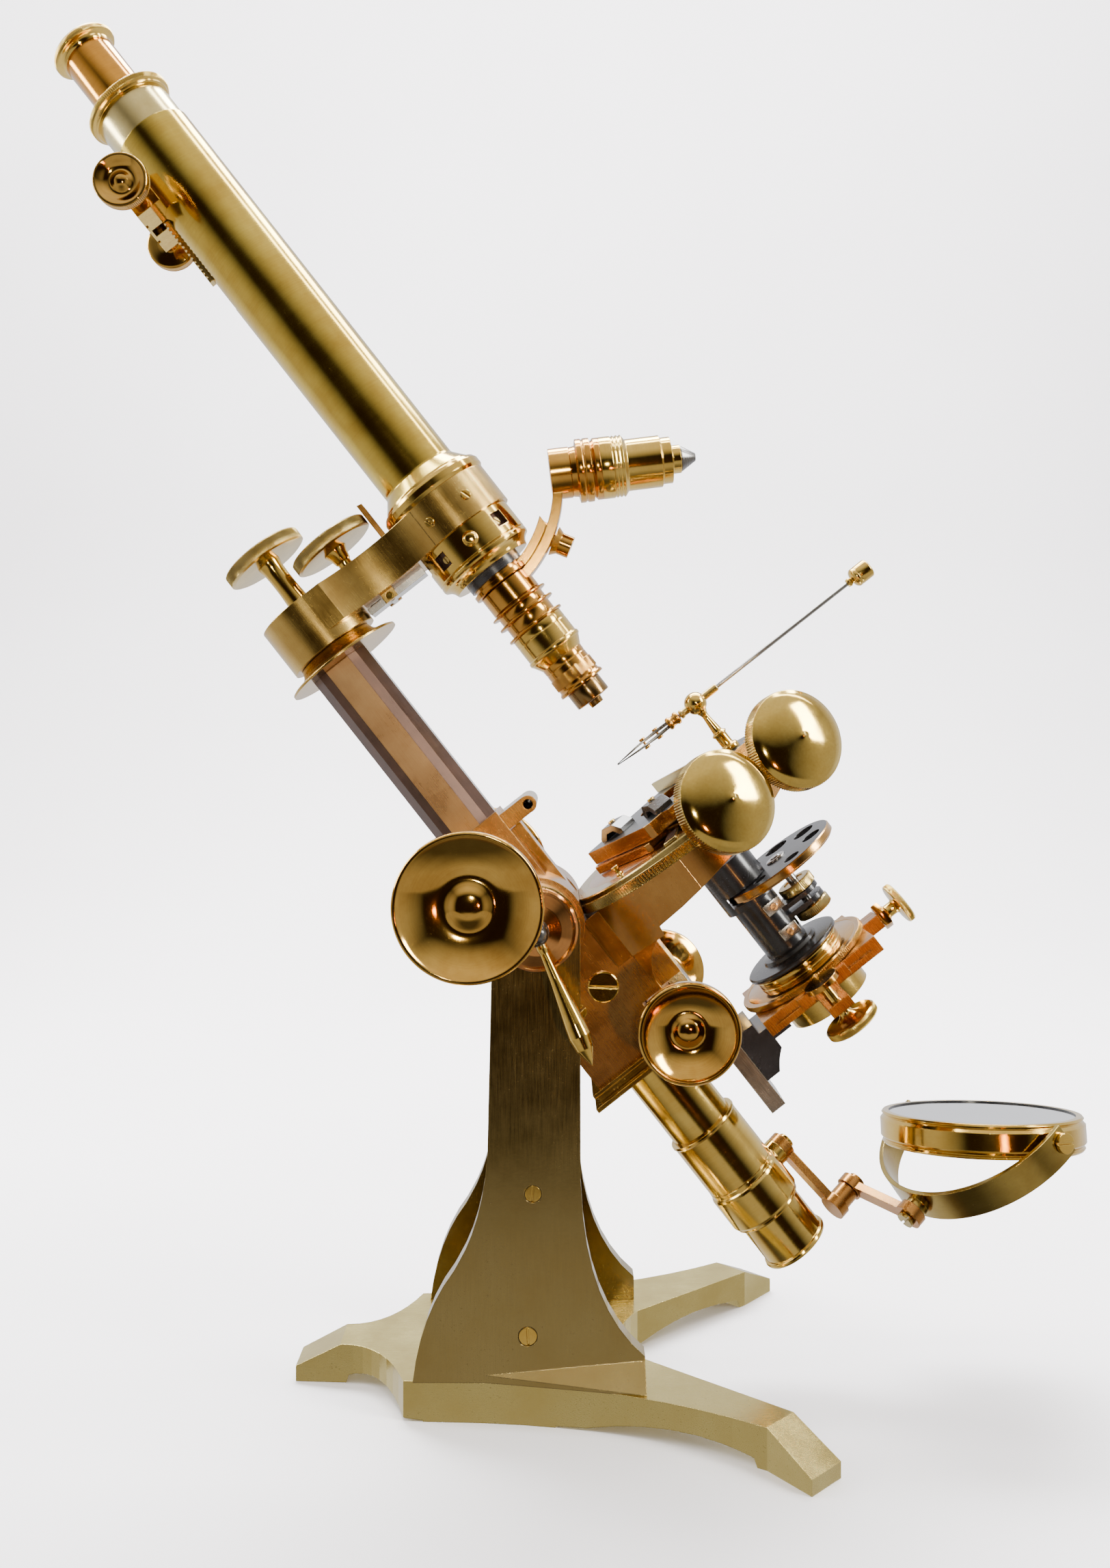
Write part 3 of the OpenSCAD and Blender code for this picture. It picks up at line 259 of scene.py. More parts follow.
looks = {
    "gold": metal("polished_gold", GOLD, GOLD_DARK, 0.12),
    "gold_turned": metal("turned_gold", GOLD, GOLD_DARK, 0.13, "turned", grain=0.12),
    "deep_gold": metal("deep_gold", DEEP, DEEP_DARK, 0.10, "turned", grain=0.05, bump=0.02),
    "dome_gold": metal("dome_gold", (0.64, 0.46, 0.12), (0.50, 0.32, 0.06), 0.11, "polish", grain=0.06,
                       spots=0.7, bump=0.03),
    "green_gold": metal("green_gold", GREEN_GOLD, GREEN_DARK, 0.16, "turned", grain=0.06, spots=0.5,
                        place=OPTIC, bump=0.03),
    "nose_gold": metal("nose_gold", GOLD, GOLD_DARK, 0.10, "turned", grain=0.06, place=OPTIC),
    "tail_gold": metal("tail_gold", (0.74, 0.53, 0.14), GOLD_DARK, 0.12, "turned", grain=0.10, place=TAIL),
    "arm_gold": metal("arm_gold", (0.62, 0.42, 0.12), (0.42, 0.24, 0.055), 0.24, "brushed", grain=0.20,
                      place=LIMB),
    "base_gold": metal("base_gold", (0.62, 0.40, 0.10), (0.42, 0.22, 0.04), 0.18, "crossed", grain=0.16,
                       place=LIMB),
    "copper": metal("bronzed_copper", COPPER, COPPER_DARK, 0.28, "brushed", grain=0.26, place=LIMB,
                    worn=(0.70, 0.42, 0.16)),
    "limb_copper": metal("limb_copper", (0.46, 0.25, 0.085), (0.32, 0.14, 0.040), 0.28, "brushed",
                         grain=0.12, place=LIMB, spots=0.5, worn=(0.66, 0.42, 0.16)),
    "copper_turned": metal("turned_copper", (0.62, 0.34, 0.075), (0.42, 0.19, 0.03), 0.18, "turned",
                           grain=0.16, place=OPTIC),
    "copper_piece": metal("copper_piece", (0.66, 0.36, 0.070), (0.44, 0.19, 0.028), 0.15, "turned",
                          grain=0.10),
    "cap_copper": metal("cap_copper", (0.66, 0.32, 0.10), (0.44, 0.17, 0.045), 0.14, "turned", grain=0.14,
                        place=TRUNNION @ ACROSS),
    "bracket_copper": metal("bracket_copper", (0.52, 0.27, 0.075), (0.34, 0.145, 0.030), 0.22, "brushed",
                            grain=0.10, place=LIMB, worn=(0.80, 0.55, 0.22)),
    "bar_copper": metal("bar_copper", (0.50, 0.30, 0.14), (0.37, 0.19, 0.075), 0.30, "brushed",
                        grain=0.07, place=LIMB, worn=(0.62, 0.42, 0.20)),
    "olive": metal("satin_olive", OLIVE, OLIVE_DARK, 0.20, "brushed", grain=0.30, spots=0.6, bump=0.08,
                   wear=0.5),
    "foot_olive": metal("satin_foot", (0.70, 0.58, 0.22), (0.58, 0.45, 0.14), 0.26, "crossed",
                        grain=0.20, spots=0.8, bump=0.08, wear=0.6),
    "ring_olive": metal("satin_ring", (0.48, 0.36, 0.12), (0.32, 0.21, 0.055), 0.26, "turned", grain=0.2,
                        spots=0.5),
    "pale": metal("pale_brass", PALE, PALE_DARK, 0.20, "turned", grain=0.14, place=OPTIC),
    "pale_turned": metal("pale_turned", (0.66, 0.50, 0.19), (0.46, 0.32, 0.09), 0.22, "turned", grain=0.22),
    "eye_orange": metal("eye_orange", (0.70, 0.34, 0.05), (0.46, 0.18, 0.02), 0.12, "turned", grain=0.05),
    "nickel": metal("pale_nickel", (0.66, 0.64, 0.58), (0.44, 0.42, 0.38), 0.24, "brushed", grain=0.2,
                    place=LIMB),
    "steel": metal("bright_steel", STEEL, STEEL_DARK, 0.22, "turned", grain=0.16, spots=0.5),
    "dark_steel": metal("dark_steel", (0.22, 0.21, 0.20), (0.11, 0.105, 0.10), 0.26, "turned", grain=0.2),
    # pale silver for the prism bar's outer facets: a painted reflection of the bright backdrop, not the
    # brass's own colour
    "painted_pale_reflection": metal("painted_pale_reflection", (0.80, 0.80, 0.76), (0.62, 0.61, 0.56), 0.2, "brushed", grain=0.16,
                      place=LIMB),
    # dark brown: painted shade on the prism bar's slanted facets and in the nose box recesses; also the
    # colour of the real engraved marks on the stage ring
    "painted_shade_and_marks": metal("painted_shade_and_marks", (0.085, 0.042, 0.025), (0.04, 0.02, 0.012), 0.34, "brushed",
                       grain=0.3, place=LIMB, wear=0.2, metallic=0.7),
    "black": metal("black_lacquer", BLACK, BLACK_DARK, 0.24, "polish", grain=0.05, metallic=0.0, coat=0.25,
                   wear=0.16, spots=0.3, worn=BRASS_UNDER),
    "black_turned": metal("black_turned", BLACK, BLACK_DARK, 0.26, "turned", grain=0.05, metallic=0.0,
                          coat=0.15, wear=0.05, place=OPTIC, worn=BRASS_UNDER),
    "worn_black": metal("worn_black", (0.075, 0.078, 0.085), (0.025, 0.026, 0.028), 0.34, "polish",
                        grain=0.1, metallic=0.6, coat=0.2, wear=0.5, spots=0.6, worn=(0.25, 0.24, 0.22)),
}


def glass(name, tint, rough=0.01):
    n = Nodes(name)
    cloud = n.noise(n.place(None), 60)
    n.link(n.mix(n.stretch(cloud, 0.3, 0.7), tint, [c * 0.97 for c in tint]), n.shader.inputs["Base Color"])
    n.link(n.stretch(cloud, 0.3, 0.8, rough, rough + 0.03), n.shader.inputs["Roughness"])
    n.shader.inputs["Transmission Weight"].default_value = 0.9
    n.shader.inputs["IOR"].default_value = 1.5
    return n.material


looks["glass"] = glass("lens_glass", (0.92, 0.95, 0.97))
looks["fork_olive"] = metal("fork_olive", (0.46, 0.34, 0.09), (0.30, 0.19, 0.04), 0.2, "turned",
                            grain=0.2, spots=0.6, place=FORK)
looks["cell_gold"] = metal("cell_gold", GOLD, GOLD_DARK, 0.12, "turned", grain=0.1, place=CELL)
looks["bronze_dark"] = metal("bronze_dark", (0.30, 0.19, 0.07), (0.18, 0.10, 0.03), 0.2,
"turned", grain=0.12)
looks["copper_wheel"] = metal("copper_wheel", (0.60, 0.35, 0.11), (0.42, 0.21, 0.055),
                              0.2, "turned", grain=0.16)
looks["mirror"] = metal("silvered_glass", (0.93, 0.94, 0.95), (0.86, 0.87, 0.88), 0.03, grain=0.01,
                        spots=0.5, wear=0.1, bump=0.0)


# ---- mesh helpers ----

def finish_mesh(name, mesh, place, body, look, replaced=()):
    mesh.materials.append(looks[look] if isinstance(look, str) else look)
    for polygon in mesh.polygons:
        polygon.use_smooth = True
    mesh.set_sharp_from_angle(angle=SMOOTH_ANGLE)
    piece = bpy.data.objects.new(name, mesh)
    bpy.context.scene.collection.objects.link(piece)
    piece.matrix_world = place
    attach(piece, body)
    if replaced:
        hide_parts(*replaced)
    return piece


def softened(profile, r=0.22):
    """The profile with each corner cut by a small chamfer, so that edges catch the light."""
    points = [Vector(p) for p in profile]
    out = [points[0]]
    for a, b, c in zip(points, points[1:], points[2:]):
        before, after = (b - a), (c - b)
        if before.length < 1e-6 or after.length < 1e-6:
            continue
        if before.angle(after) < radians(14):
            out.append(b)
            continue
        cut = min(r, before.length * 0.35, after.length * 0.35)
        p, q = b - before.normalized() * cut, b + after.normalized() * cut
        out += [p, (p + q + b * 2) / 4, q]
    return out + [points[-1]]


def curve(points, steps=5):
    """A smooth line through the points."""
    pts = [Vector(p) for p in points]
    pts = [pts[0] * 2 - pts[1]] + pts + [pts[-1] * 2 - pts[-2]]
    out = []
    for a, b, c, d in zip(pts, pts[1:], pts[2:], pts[3:]):
        for i in range(steps):
            t = i / steps
            out.append(0.5 * (b * 2 + (c - a) * t + (a * 2 - b * 5 + c * 4 - d) * t * t
                              + (b * 3 - a - c * 3 + d) * t ** 3))
    return out + [pts[-2]]


def lathe_mesh(name, profile, teeth=0, milled=(), depth=0.3, steps=160, chamfer=0.22, closed=True):
    """A turned shape. Between the heights in milled, its rim is cut with straight teeth."""
    points = softened(profile, chamfer) if chamfer else [Vector(p) for p in profile]
    if teeth:
        steps = teeth * 2
        low, high = milled
        top = max(p.x for p in points if low - 0.3 <= p.y <= high + 0.3)
    mesh, bm = bpy.data.meshes.new(name), bmesh.new()
    rings = []
    for p in points:
        r, z = p
        if r < 1e-6:
            rings.append([bm.verts.new((0, 0, z * MM))])
            continue
        cut = teeth and low <= z <= high and r > top - 0.5
        ring = []
        for i in range(steps):
            rr = (r - depth * (i % 2)) if cut else r
            a = 2 * pi * i / steps
            ring.append(bm.verts.new((rr * cos(a) * MM, rr * sin(a) * MM, z * MM)))
        rings.append(ring)
    pairs = list(zip(rings, rings[1:]))
    if closed and len(rings[0]) > 1 and len(rings[-1]) > 1:
        pairs.append((rings[-1], rings[0]))
    for a, b in pairs:
        for i in range(steps):
            k = (i + 1) % steps
            corners = [a[i % len(a)], a[k % len(a)], b[k % len(b)], b[i % len(b)]]
            corners = list(dict.fromkeys(corners))
            if len(corners) > 2:
                bm.faces.new(corners)
    bmesh.ops.recalc_face_normals(bm, faces=bm.faces)
    bm.to_mesh(mesh)
    bm.free()
    return mesh


def lathe(name, profile, place, body, look, slot, replaced=(), **kind):
    return finish_mesh(name, lathe_mesh(name, profile, **kind), place, body, look, replaced)


def extrude(name, outline, low, high, place, body, look, replaced=(), bevel=0.25):
    """A plate with the outline in x and y, its edges eased by a small bevel."""
    mesh, bm = bpy.data.meshes.new(name), bmesh.new()
    base = bm.faces.new([bm.verts.new((x * MM, y * MM, low * MM)) for x, y in outline])
    made = bmesh.ops.extrude_face_region(bm, geom=[base])
    moved = [v for v in made["geom"] if isinstance(v, bmesh.types.BMVert)]
    bmesh.ops.translate(bm, verts=moved, vec=(0, 0, (high - low) * MM))
    bmesh.ops.recalc_face_normals(bm, faces=bm.faces)
    sharp = [e for e in bm.edges if len(e.link_faces) == 2 and e.calc_face_angle(0) > radians(35)]
    if bevel:
        bmesh.ops.bevel(bm, geom=sharp, offset=bevel * MM, segments=2, profile=0.6, affect="EDGES")
    bm.to_mesh(mesh)
    bm.free()
    return finish_mesh(name, mesh, place, body, look, replaced)


def circle(r, count=40, start=0.0, end=360.0):
    """The points of a circle, or of an arc from start to end in degrees."""
    whole = abs(end - start - 360) < 1e-6
    span = count if whole else count - 1
    return [(r * cos(radians(start + (end - start) * i / span)),
             r * sin(radians(start + (end - start) * i / span))) for i in range(count)]


def rect(x0, y0, x1, y1):
    return [(x0, y0), (x1, y0), (x1, y1), (x0, y1)]


def slotted_head(name, r, h, place, body, look, slot_turn=30, slot_w=0.8, slot_d=0.8):
    """A low round screw head with its driver slot cut in."""
    steps = 48
    mesh, bm = bpy.data.meshes.new(name), bmesh.new()
    rows = [(r, 0), (r, h * 0.75), (r * 0.93, h)]
    rings = []
    for rr, z in rows:
        rings.append([bm.verts.new((rr * cos(2 * pi * i / steps) * MM, rr * sin(2 * pi * i / steps) * MM,
                                    z * MM)) for i in range(steps)])
    for a, b in zip(rings, rings[1:]):
        for i in range(steps):
            bm.faces.new((a[i], a[(i + 1) % steps], b[(i + 1) % steps], b[i]))
    bm.faces.new(list(reversed(rings[0])))
    bm.faces.new(rings[-1])
    bm.to_mesh(mesh)
    bm.free()
    piece = finish_mesh(name, mesh, place, body, look)
    cut_mesh, bm = bpy.data.meshes.new(name + "_cut"), bmesh.new()
    bmesh.ops.create_cube(bm, size=1.0)
    bmesh.ops.scale(bm, verts=bm.verts, vec=(2.4 * r * MM, slot_w * MM, 2 * slot_d * MM))
    bm.to_mesh(cut_mesh)
    bm.free()
    cutter = bpy.data.objects.new(name + "_cut", cut_mesh)
    bpy.context.scene.collection.objects.link(cutter)
    cutter.matrix_world = place @ shift(z=h) @ turn(slot_turn, "Z")
    bpy.context.view_layer.update()
    cut = piece.modifiers.new("slot", "BOOLEAN")
    cut.object, cut.operation, cut.solver = cutter, "DIFFERENCE", "EXACT"
    apply_modifiers(piece)
    bpy.data.objects.remove(cutter)
    return piece


def apply_modifiers(piece):
    graph = bpy.context.evaluated_depsgraph_get()
    piece.data = bpy.data.meshes.new_from_object(piece.evaluated_get(graph))
    piece.modifiers.clear()


# ---- finishes of the CAD nodes ----

def dress(node, look, rules=()):
    """Gives a CAD node its finish. A rule is (test of a face's centre in a place, in mm; look)."""
    piece = frame["nodes"][node]
    piece.data.materials.clear()
    piece.data.materials.append(looks[look])
    for polygon in piece.data.polygons:
        polygon.use_smooth = True
        polygon.material_index = 0
    piece.data.set_sharp_from_angle(angle=SMOOTH_ANGLE)
    for place, test, other in rules:
        if looks[other].name not in [m.name for m in piece.data.materials]:
            piece.data.materials.append(looks[other])
        index = [m.name for m in piece.data.materials].index(looks[other].name)
        back = place.inverted()
        for polygon in piece.data.polygons:
            if test(back @ polygon.center / MM, back.to_3x3() @ polygon.normal):
                polygon.material_index = index


dress("foot", "foot_olive")
dress("pillars", "olive")
dress("pillar_spacers", "olive")
dress("trunnion_pins", "cap_copper")
dress("clamp_lever", "gold", [
    (TRUNNION, lambda c, n: (c - Vector((0, -51, 0))).length < 5.2 or (c.xz.length < 5.2 and c.y > -51),
     "dark_steel")])
dress("limb", "limb_copper")
dress("limb_base", "base_gold")
dress("gib_strip", "bracket_copper")
dress("stage_bracket", "bracket_copper")
dress("accessory_socket", "copper", [
    (LIMB, lambda c, n: c.x > 18 and abs(c.y) < 19.9, "gold"),
    (LIMB, lambda c, n: (c.xz - Vector((26.3, 39.4))).length < 2.2 and abs(c.y) < 19.9, "black")])
# the prism bar's facets are coloured by which way they face: a pale painted reflection on the outer facets,
# a dark painted shade on the slanted ones, copper on the rest
dress("prism_bar", "bar_copper", [
    (LIMB, lambda c, n: abs(n.x) > 0.9, "painted_pale_reflection"),
    (LIMB, lambda c, n: 0.3 < abs(n.x) < 0.9 and abs(n.y) > 0.3, "painted_shade_and_marks")])
dress("coarse_rack", "steel")
dress("arm", "arm_gold")
dress("arm_screws", "gold")
dress("stop_blade", "copper")
# the band of recesses round the nose box is painted dark brown: painted shade in the hollows
dress("nose_box", "nose_gold", [
    (OPTIC, lambda c, n: c.xy.length < 21.1 and 134.6 < c.z < 140.7 and c.xy.length > 18, "painted_shade_and_marks")])
dress("body_tube", "green_gold", [(LIMB, lambda c, n: c.z < 168.6, "nose_gold")])
dress("pinion_box", "gold")
dress("fine_focus_lever", "nickel")
dress("nose_tube", "black_turned")
dress("nosepiece_ring", "copper_piece")
dress("nosepiece_swing", "copper_piece")
dress("eyepiece_lenses", "glass")
dress("stage_lower_plate", "bracket_copper")
dress("stage_upper_plate", "bracket_copper", [(LIMB, lambda c, n: n.z > 0.9, "worn_black")])
dress("slide_bar", "pale")
dress("substage_slide", "nickel", [(LIMB, lambda c, n: c.x > 33.05, "black")])
dress("substage_carrier", "copper", [(LIMB, lambda c, n: c.z < -93.2 and abs(c.y) < 20
                                      and c.y > -20, "gold")])
dress("condenser", "black_turned")
dress("upper_link", "copper")
dress("lower_link", "copper")
dress("mirror_fork", "fork_olive")
dress("mirror_cell", "cell_gold", [
    (CELL, lambda c, n: abs(c.z) > 4.6 and c.xy.length < 37.6, "black")])
dress("mirror_glass", "mirror")
dress("bar_collar", "arm_gold")
dress("tail_tube", "tail_gold")
dress("mirror_sleeve", "tail_gold")
dress("mirror_collar", "tail_gold")
dress("stage_clips", "black")


# ---- milled heads ----

def dished_profile(r, depth):
    """A milled head with a bowl in its face and a rounded boss in the bowl."""
    back = curve([(6.2, 0), (8, 1.2), (r * 0.5, 3.0), (r * 0.78, depth - 7), (r - 0.8, depth - 4.7)])
    front = curve([(r - 1.5, depth), (r * 0.89, depth - 1.3), (r * 0.76, depth - 3.6),
                   (r * 0.60, depth - 5.7), (r * 0.45, depth - 6.9), (r * 0.35, depth - 7.1),
                   (r * 0.27, depth - 6.3), (r * 0.18, depth - 5.0), (r * 0.08, depth - 4.5),
                   (0, depth - 4.4)])
    return [(0, 0)] + back + [(r, depth - 4.2), (r, depth - 0.6), (r - 0.6, depth)] + front


def pinion(body, joint, slot_name, r, depth, out, shaft_r, roller_r, teeth):
    """A shaft with a plain roller in the middle and a dished milled head at each end."""
    centre = joint_at(joint)
    for side, direction in (("front", FRONT), ("back", BACK)):
        place = facing(centre, direction)
        lathe(f"{body}_{side}_head", dished_profile(r, depth), place @ shift(z=out - depth), body,
              "deep_gold", slot_name, teeth=teeth, milled=(depth - 4.05, depth - 0.8), depth=0.35,
              chamfer=0.12)
        lathe(f"{body}_{side}_hub", [(0, -3.5), (5.0, -3.5), (5.6, -2.9), (5.6, -0.6), (6.1, 0.1),
        (0, 0.1)],
              place @ shift(z=out - depth), body, "gold_turned", slot_name)
    inner = out - depth - 3
    lathe(f"{body}_shaft", [(0, -inner), (shaft_r, -inner), (shaft_r, -6), (roller_r, -4), (roller_r, 4),
                            (shaft_r, 6), (shaft_r, inner), (0, inner)], facing(centre, FRONT), body,
          "steel", slot_name, (body,))


pinion("coarse_pinion", "coarse_turn", "lacquered_brass", 28, 14.6, 70, 3, 4.6, 150)
pinion("substage_pinion", "substage_turn", "lacquered_brass", 19.2, 12.4, 62, 2.2, 3, 110)


# ---- arm, body and draw tube ----

def milled_rim(r, z, h):
    """The flat disc of a milled head, its face turned down a little inside the rim."""
    return [(0, z), (r - 1.4, z), (r, z + 0.6), (r, z + h - 0.6), (r - 0.7, z + h), (r - 2, z + h),
            (r - 2.4, z + h - 0.35), (3, z + h - 0.4), (2.3, z + h - 0.05), (0, z + h - 0.05)]


for body, x, r, z, stem in (
        ("arm_clamp_screw", in_limb(joint_at("arm_clamp_turn")).x, 18.1, 184.5,
         [(0, 156), (3, 156), (3, 161.7), (7, 161.7), (7, 162.6)]
         + curve([(4.9, 163.2), (4.4, 172), (4.5, 180), (5.2, 184.5)]) + [(0, 184.5)]),
        ("fine_focus_screw", in_limb(joint_at("fine_focus_turn")).x, 18.2, 171.5,
         [(0, 144.4), (3, 144.4), (3, 165.6), (3.5, 166.1), (4.2, 169), (5.4, 171.4), (0, 171.5)])):
    here = LIMB @ shift(x)
    lathe(body + "_stem", stem, here, body, "gold_turned", "lacquered_brass", (body,))
    lathe(body + "_head", milled_rim(r, z, 5.5), here, body, "pale_turned", "lacquered_brass",
          teeth=150, milled=(z + 0.6, z + 4.9), depth=0.4, chamfer=0.12)

draw_head = [(0, 0), (3.6, 0), (4, 3)] + curve([(6, 3.5), (9.6, 4.4), (10.6, 4.9)]) \
    + [(10.8, 5.2), (10.8, 8.6), (10.4, 9.1)] \
    + curve([(9.6, 9.1), (8.2, 8.3), (6.4, 7.2), (4.8, 6.8), (3.4, 7.6), (1.8, 8.8), (0, 9.2)])
for side, direction in (("front", FRONT), ("back", BACK)):
    lathe(f"draw_pinion_{side}_head", draw_head, facing(joint_at("draw_turn"), direction) @ shift(z=26.5),
          "draw_pinion", "deep_gold", "lacquered_brass", teeth=90, milled=(5.2, 8.6),
          depth=0.3, chamfer=0.1)
lathe("draw_pinion_shaft", [(0, -27), (1.8, -27), (1.8, -3), (2.6, -3), (2.6, 3),
                           (1.8, 3), (1.8, 27), (0, 27)],
      facing(joint_at("draw_turn"), FRONT), "draw_pinion", "steel", "steel", ("draw_pinion",))

lathe("draw_tube_wall", [(15.35, 215), (16.35, 215), (16.35, 367.5), (15.35, 367.5)], OPTIC, "draw_tube",
      "pale", "lacquered_brass", ("draw_tube",), chamfer=0.1)
lathe("draw_tube_collar", [(11.2, 367), (17.2, 367), (17.7, 367.6), (17.4, 368), (18.9, 368.6),
(18.9, 370.9),
                           (18.0, 371.4), (17.4, 372), (12.4, 372), (11.2, 371.6)], OPTIC, "draw_tube",
      "nose_gold", "lacquered_brass", teeth=130, milled=(368.5, 371), depth=0.4, chamfer=0.1)
rack = [(-15.6, 291), (-18.6, 291)]
for z in range(293, 350, 2):
    rack += [(-18.6, z), (-17.9, z + 0.2), (-17.9, z + 0.8), (-18.6, z + 1)]
extrude("draw_tube_rack", rack + [(-18.6, 352), (-15.6, 352)], -2.5, 2.5, OPTIC @ ACROSS, "draw_tube",
        "pale_turned", bevel=0)

lathe("eyepiece_tube", [(9.9, 331), (11.1, 331), (11.1, 397), (9.9, 397)], OPTIC, "eyepiece", "eye_orange",
      "lacquered_brass", ("eyepiece",), chamfer=0.1)
lathe("eyepiece_cap", [(4.6, 396), (10.6, 396), (11.3, 397.2)]
      + curve([(11.5, 398), (12.4, 398.6), (13.4, 399), (13.9, 399.4)], 3)
      + [(14.1, 399.6), (14.1, 400.9), (13.8, 401.3)]
      + curve([(13.2, 402), (11.6, 401.5), (9, 401.3), (6, 401)], 3)
      + [(5.2, 400.4), (4.6, 399.6)], OPTIC, "eyepiece", "nose_gold", "lacquered_brass",
      teeth=120, milled=(399.5, 401), depth=0.25, chamfer=0)

# a push button between the recesses of the nose box
lathe("nose_box_button", [(0, 0), (3.3, 0), (3.3, 0.5), (2.7, 0.9)]
      + curve([(2.6, 1.1), (1.8, 1.7), (0, 1.9)]),
      OPTIC @ shift(y=-21.4, z=137.4) @ ACROSS, "arm", "gold_turned", "lacquered_brass")
for i, a in enumerate((-131, -48, 48, 131)):
    slotted_head(f"nose_box_screw_{i}", 1.7, 0.8, OPTIC @ shift(z=137.6) @ turn(a, "Z") @ shift(x=19.1)
                 @ turn(90, "Y"), "arm", "pale_turned", 35 * i, 0.5, 0.5)

# ---- objectives ----

high = (
    ("mouth", "copper_piece", [(0, 59.4), (11, 59.4), (11.1, 60), (13.5, 60.3), (13.5, 61.0), (11, 61.4),
                               (11, 64.8), (13.5, 65.1), (13.5, 66.0), (10.8, 66.4), (10.8, 71),
                               (13.4, 71.3), (13.4, 72.2), (12, 72.6), (0, 72.6)]),
    ("barrel", "gold_turned", [(0, 72.6), (12, 72.6), (12, 76), (11.8, 76.3), (12, 76.6), (12, 83.4),
                               (12.6, 83.8), (12.6, 85.2), (12, 85.6), (9.8, 89.5), (0, 89.5)]),
    ("front", "copper_piece", [(0, 89.4), (9.8, 89.4), (9.7, 92), (9.5, 92.3), (9.7, 92.6), (9.7, 101.5),
                               (10.6, 102.4), (10.6, 103.6), (7.9, 103.9), (0, 103.9)]),
    ("tip", "bronze_dark", [(0, 103.8), (7.9, 103.8), (7.9, 111), (7.4, 111.3), (3.2, 111.6), (2.9, 114),
                            (1.6, 114), (1.2, 113.2), (0, 113.2)]))
low = (
    ("mouth", "copper_piece", [(0, 59.4), (10.2, 59.4), (10.6, 62), (13.2, 62.4), (13.2, 64.6),
    (12.6, 65.2),
                               (13.2, 65.8), (13.2, 68.2), (11.4, 68.6), (12.8, 69.8), (12.8, 72),
                               (0, 72)]),
    ("barrel", "gold_turned", [(0, 72), (12.8, 72), (12.8, 77), (12.2, 77.3), (12.9, 78.1), (12.2, 78.9),
                               (12.9, 79.7), (12.2, 80.5), (12.9, 81.3), (12, 82), (10.7, 83), (10.7, 97.2),
                               (9.6, 97.6), (9.6, 101.6), (5.9, 102.2), (5.9, 105.6), (0, 105.6)]),
    ("tip", "dark_steel", [(0, 105.5), (5.3, 105.5), (5.3, 106), (1.6, 112), (0.8, 112), (0, 111.6)]))
for node, place, parts in (("high_power_objective", DOWN_AXIS, high), ("low_power_objective", SWUNG, low)):
    for name, look, profile in parts:
        lathe(f"{node}_{name}", profile, place, "nosepiece_swing", look, "lacquered_brass",
              (node,) if name == "mouth" else ())
lathe("high_power_objective_knurl", [(9.9, 95.2), (10.1, 95.2), (10.1, 100.2), (9.9, 100.2), (9.0, 100.2),
                                     (9.0, 95.2)], DOWN_AXIS, "nosepiece_swing", "copper_piece",
      "lacquered_brass", teeth=100, milled=(95.2, 100.2), depth=0.25, chamfer=0)

# ---- stage ----

dome = [(0, 0), (4, 0), (5, 2), (18.2, 2.4), (19.2, 3.2), (19.2, 8.4), (18.9, 9.0)] \
    + curve([(18.5, 9.3), (16.6, 10.6), (14.0, 11.7), (10, 12.7),
             (6, 13.4), (2.4, 13.9), (1.2, 14.2), (0, 14.8)], 6)
for body, side in (("stage_rack_knob", -1), ("stage_screw_knob", 1)):
    here = STAGE @ shift(side * STAGE_HEAD_X, -63.2, -2.2) @ ACROSS
    lathe(body + "_head", dome, here, body, "dome_gold", "lacquered_brass", (body,), teeth=120,
          milled=(3.2, 8.4), depth=0.4, chamfer=0)
    lathe(body + "_shaft", [(0, -41.2), (1.8, -41.2), (1.8, -22.7), (2, -22.7), (2, -11), (2.55, -11),
                            (2.55, -8.2), (2, -8.2), (2, 0.6), (0, 0.6)], here, body, "steel", "steel")

lathe("stage_ring_rim", [(50, -10.5), (58.6, -10.5), (59, -10.2), (59, -6.9), (58.6, -6.5), (57.8, -6.5),
                         (57.8, -4.7), (57.4, -4.2), (50, -4.2)], STAGE, "stage_ring", "ring_olive",
      "stage_brass", ("stage_ring",), teeth=264, milled=(-10.3, -6.8), depth=0.9, chamfer=0)
lathe("stage_ring_disc", [(22, -24), (30, -24), (30, -10.5), (50.2, -10.5), (50.2, -4.2), (22, -4.2)],
      STAGE, "stage_ring", "bracket_copper", "stage_brass")
for side in (-1, 1):
    extrude(f"stage_ring_bearing_{side + 1}",
            rect(side * STAGE_HEAD_X - 4.5, -52, side * STAGE_HEAD_X + 4.5, -46), -4.4, 2.4, STAGE,
            "stage_ring", "pale_turned", bevel=0.5)
lathe("stage_ring_post", [(0, -0.2), (1.6, -0.2), (1.6, 0.4), (1, 1), (1, 2.6),
                          (1.6, 3.3), (1.6, 3.8), (1.3, 4), (0, 4)], STAGE @ shift(-46, -14, -4.2),
                          "stage_ring", "gold_turned", "stage_brass")
extrude("stage_ring_index", rect(40, -3, 56, 3), -4.3, -2.7, STAGE @ turn(-128, "Z"), "stage_ring",
        "pale_turned", bevel=0.5)
# the engraved marks, in the same dark brown that elsewhere stands for painted shade
for i in range(8):
    extrude(f"stage_ring_mark_{i}", rect(41.2 + i * 1.8, -2.2, 41.8 + i * 1.8, 2.2), -2.8, -2.45,
            STAGE @ turn(-128, "Z"), "stage_ring", "painted_shade_and_marks", bevel=0)
for i, (x, y) in enumerate(((-23, 12), (-20, -24))):
    slotted_head(f"stage_clip_screw_{i}", 1.6, 0.9, STAGE @ shift(x, y, 11.0), "stage_upper_plate",
                 "gold_turned", 30 + 50 * i, 0.5, 0.6)

# ---- stage forceps ----

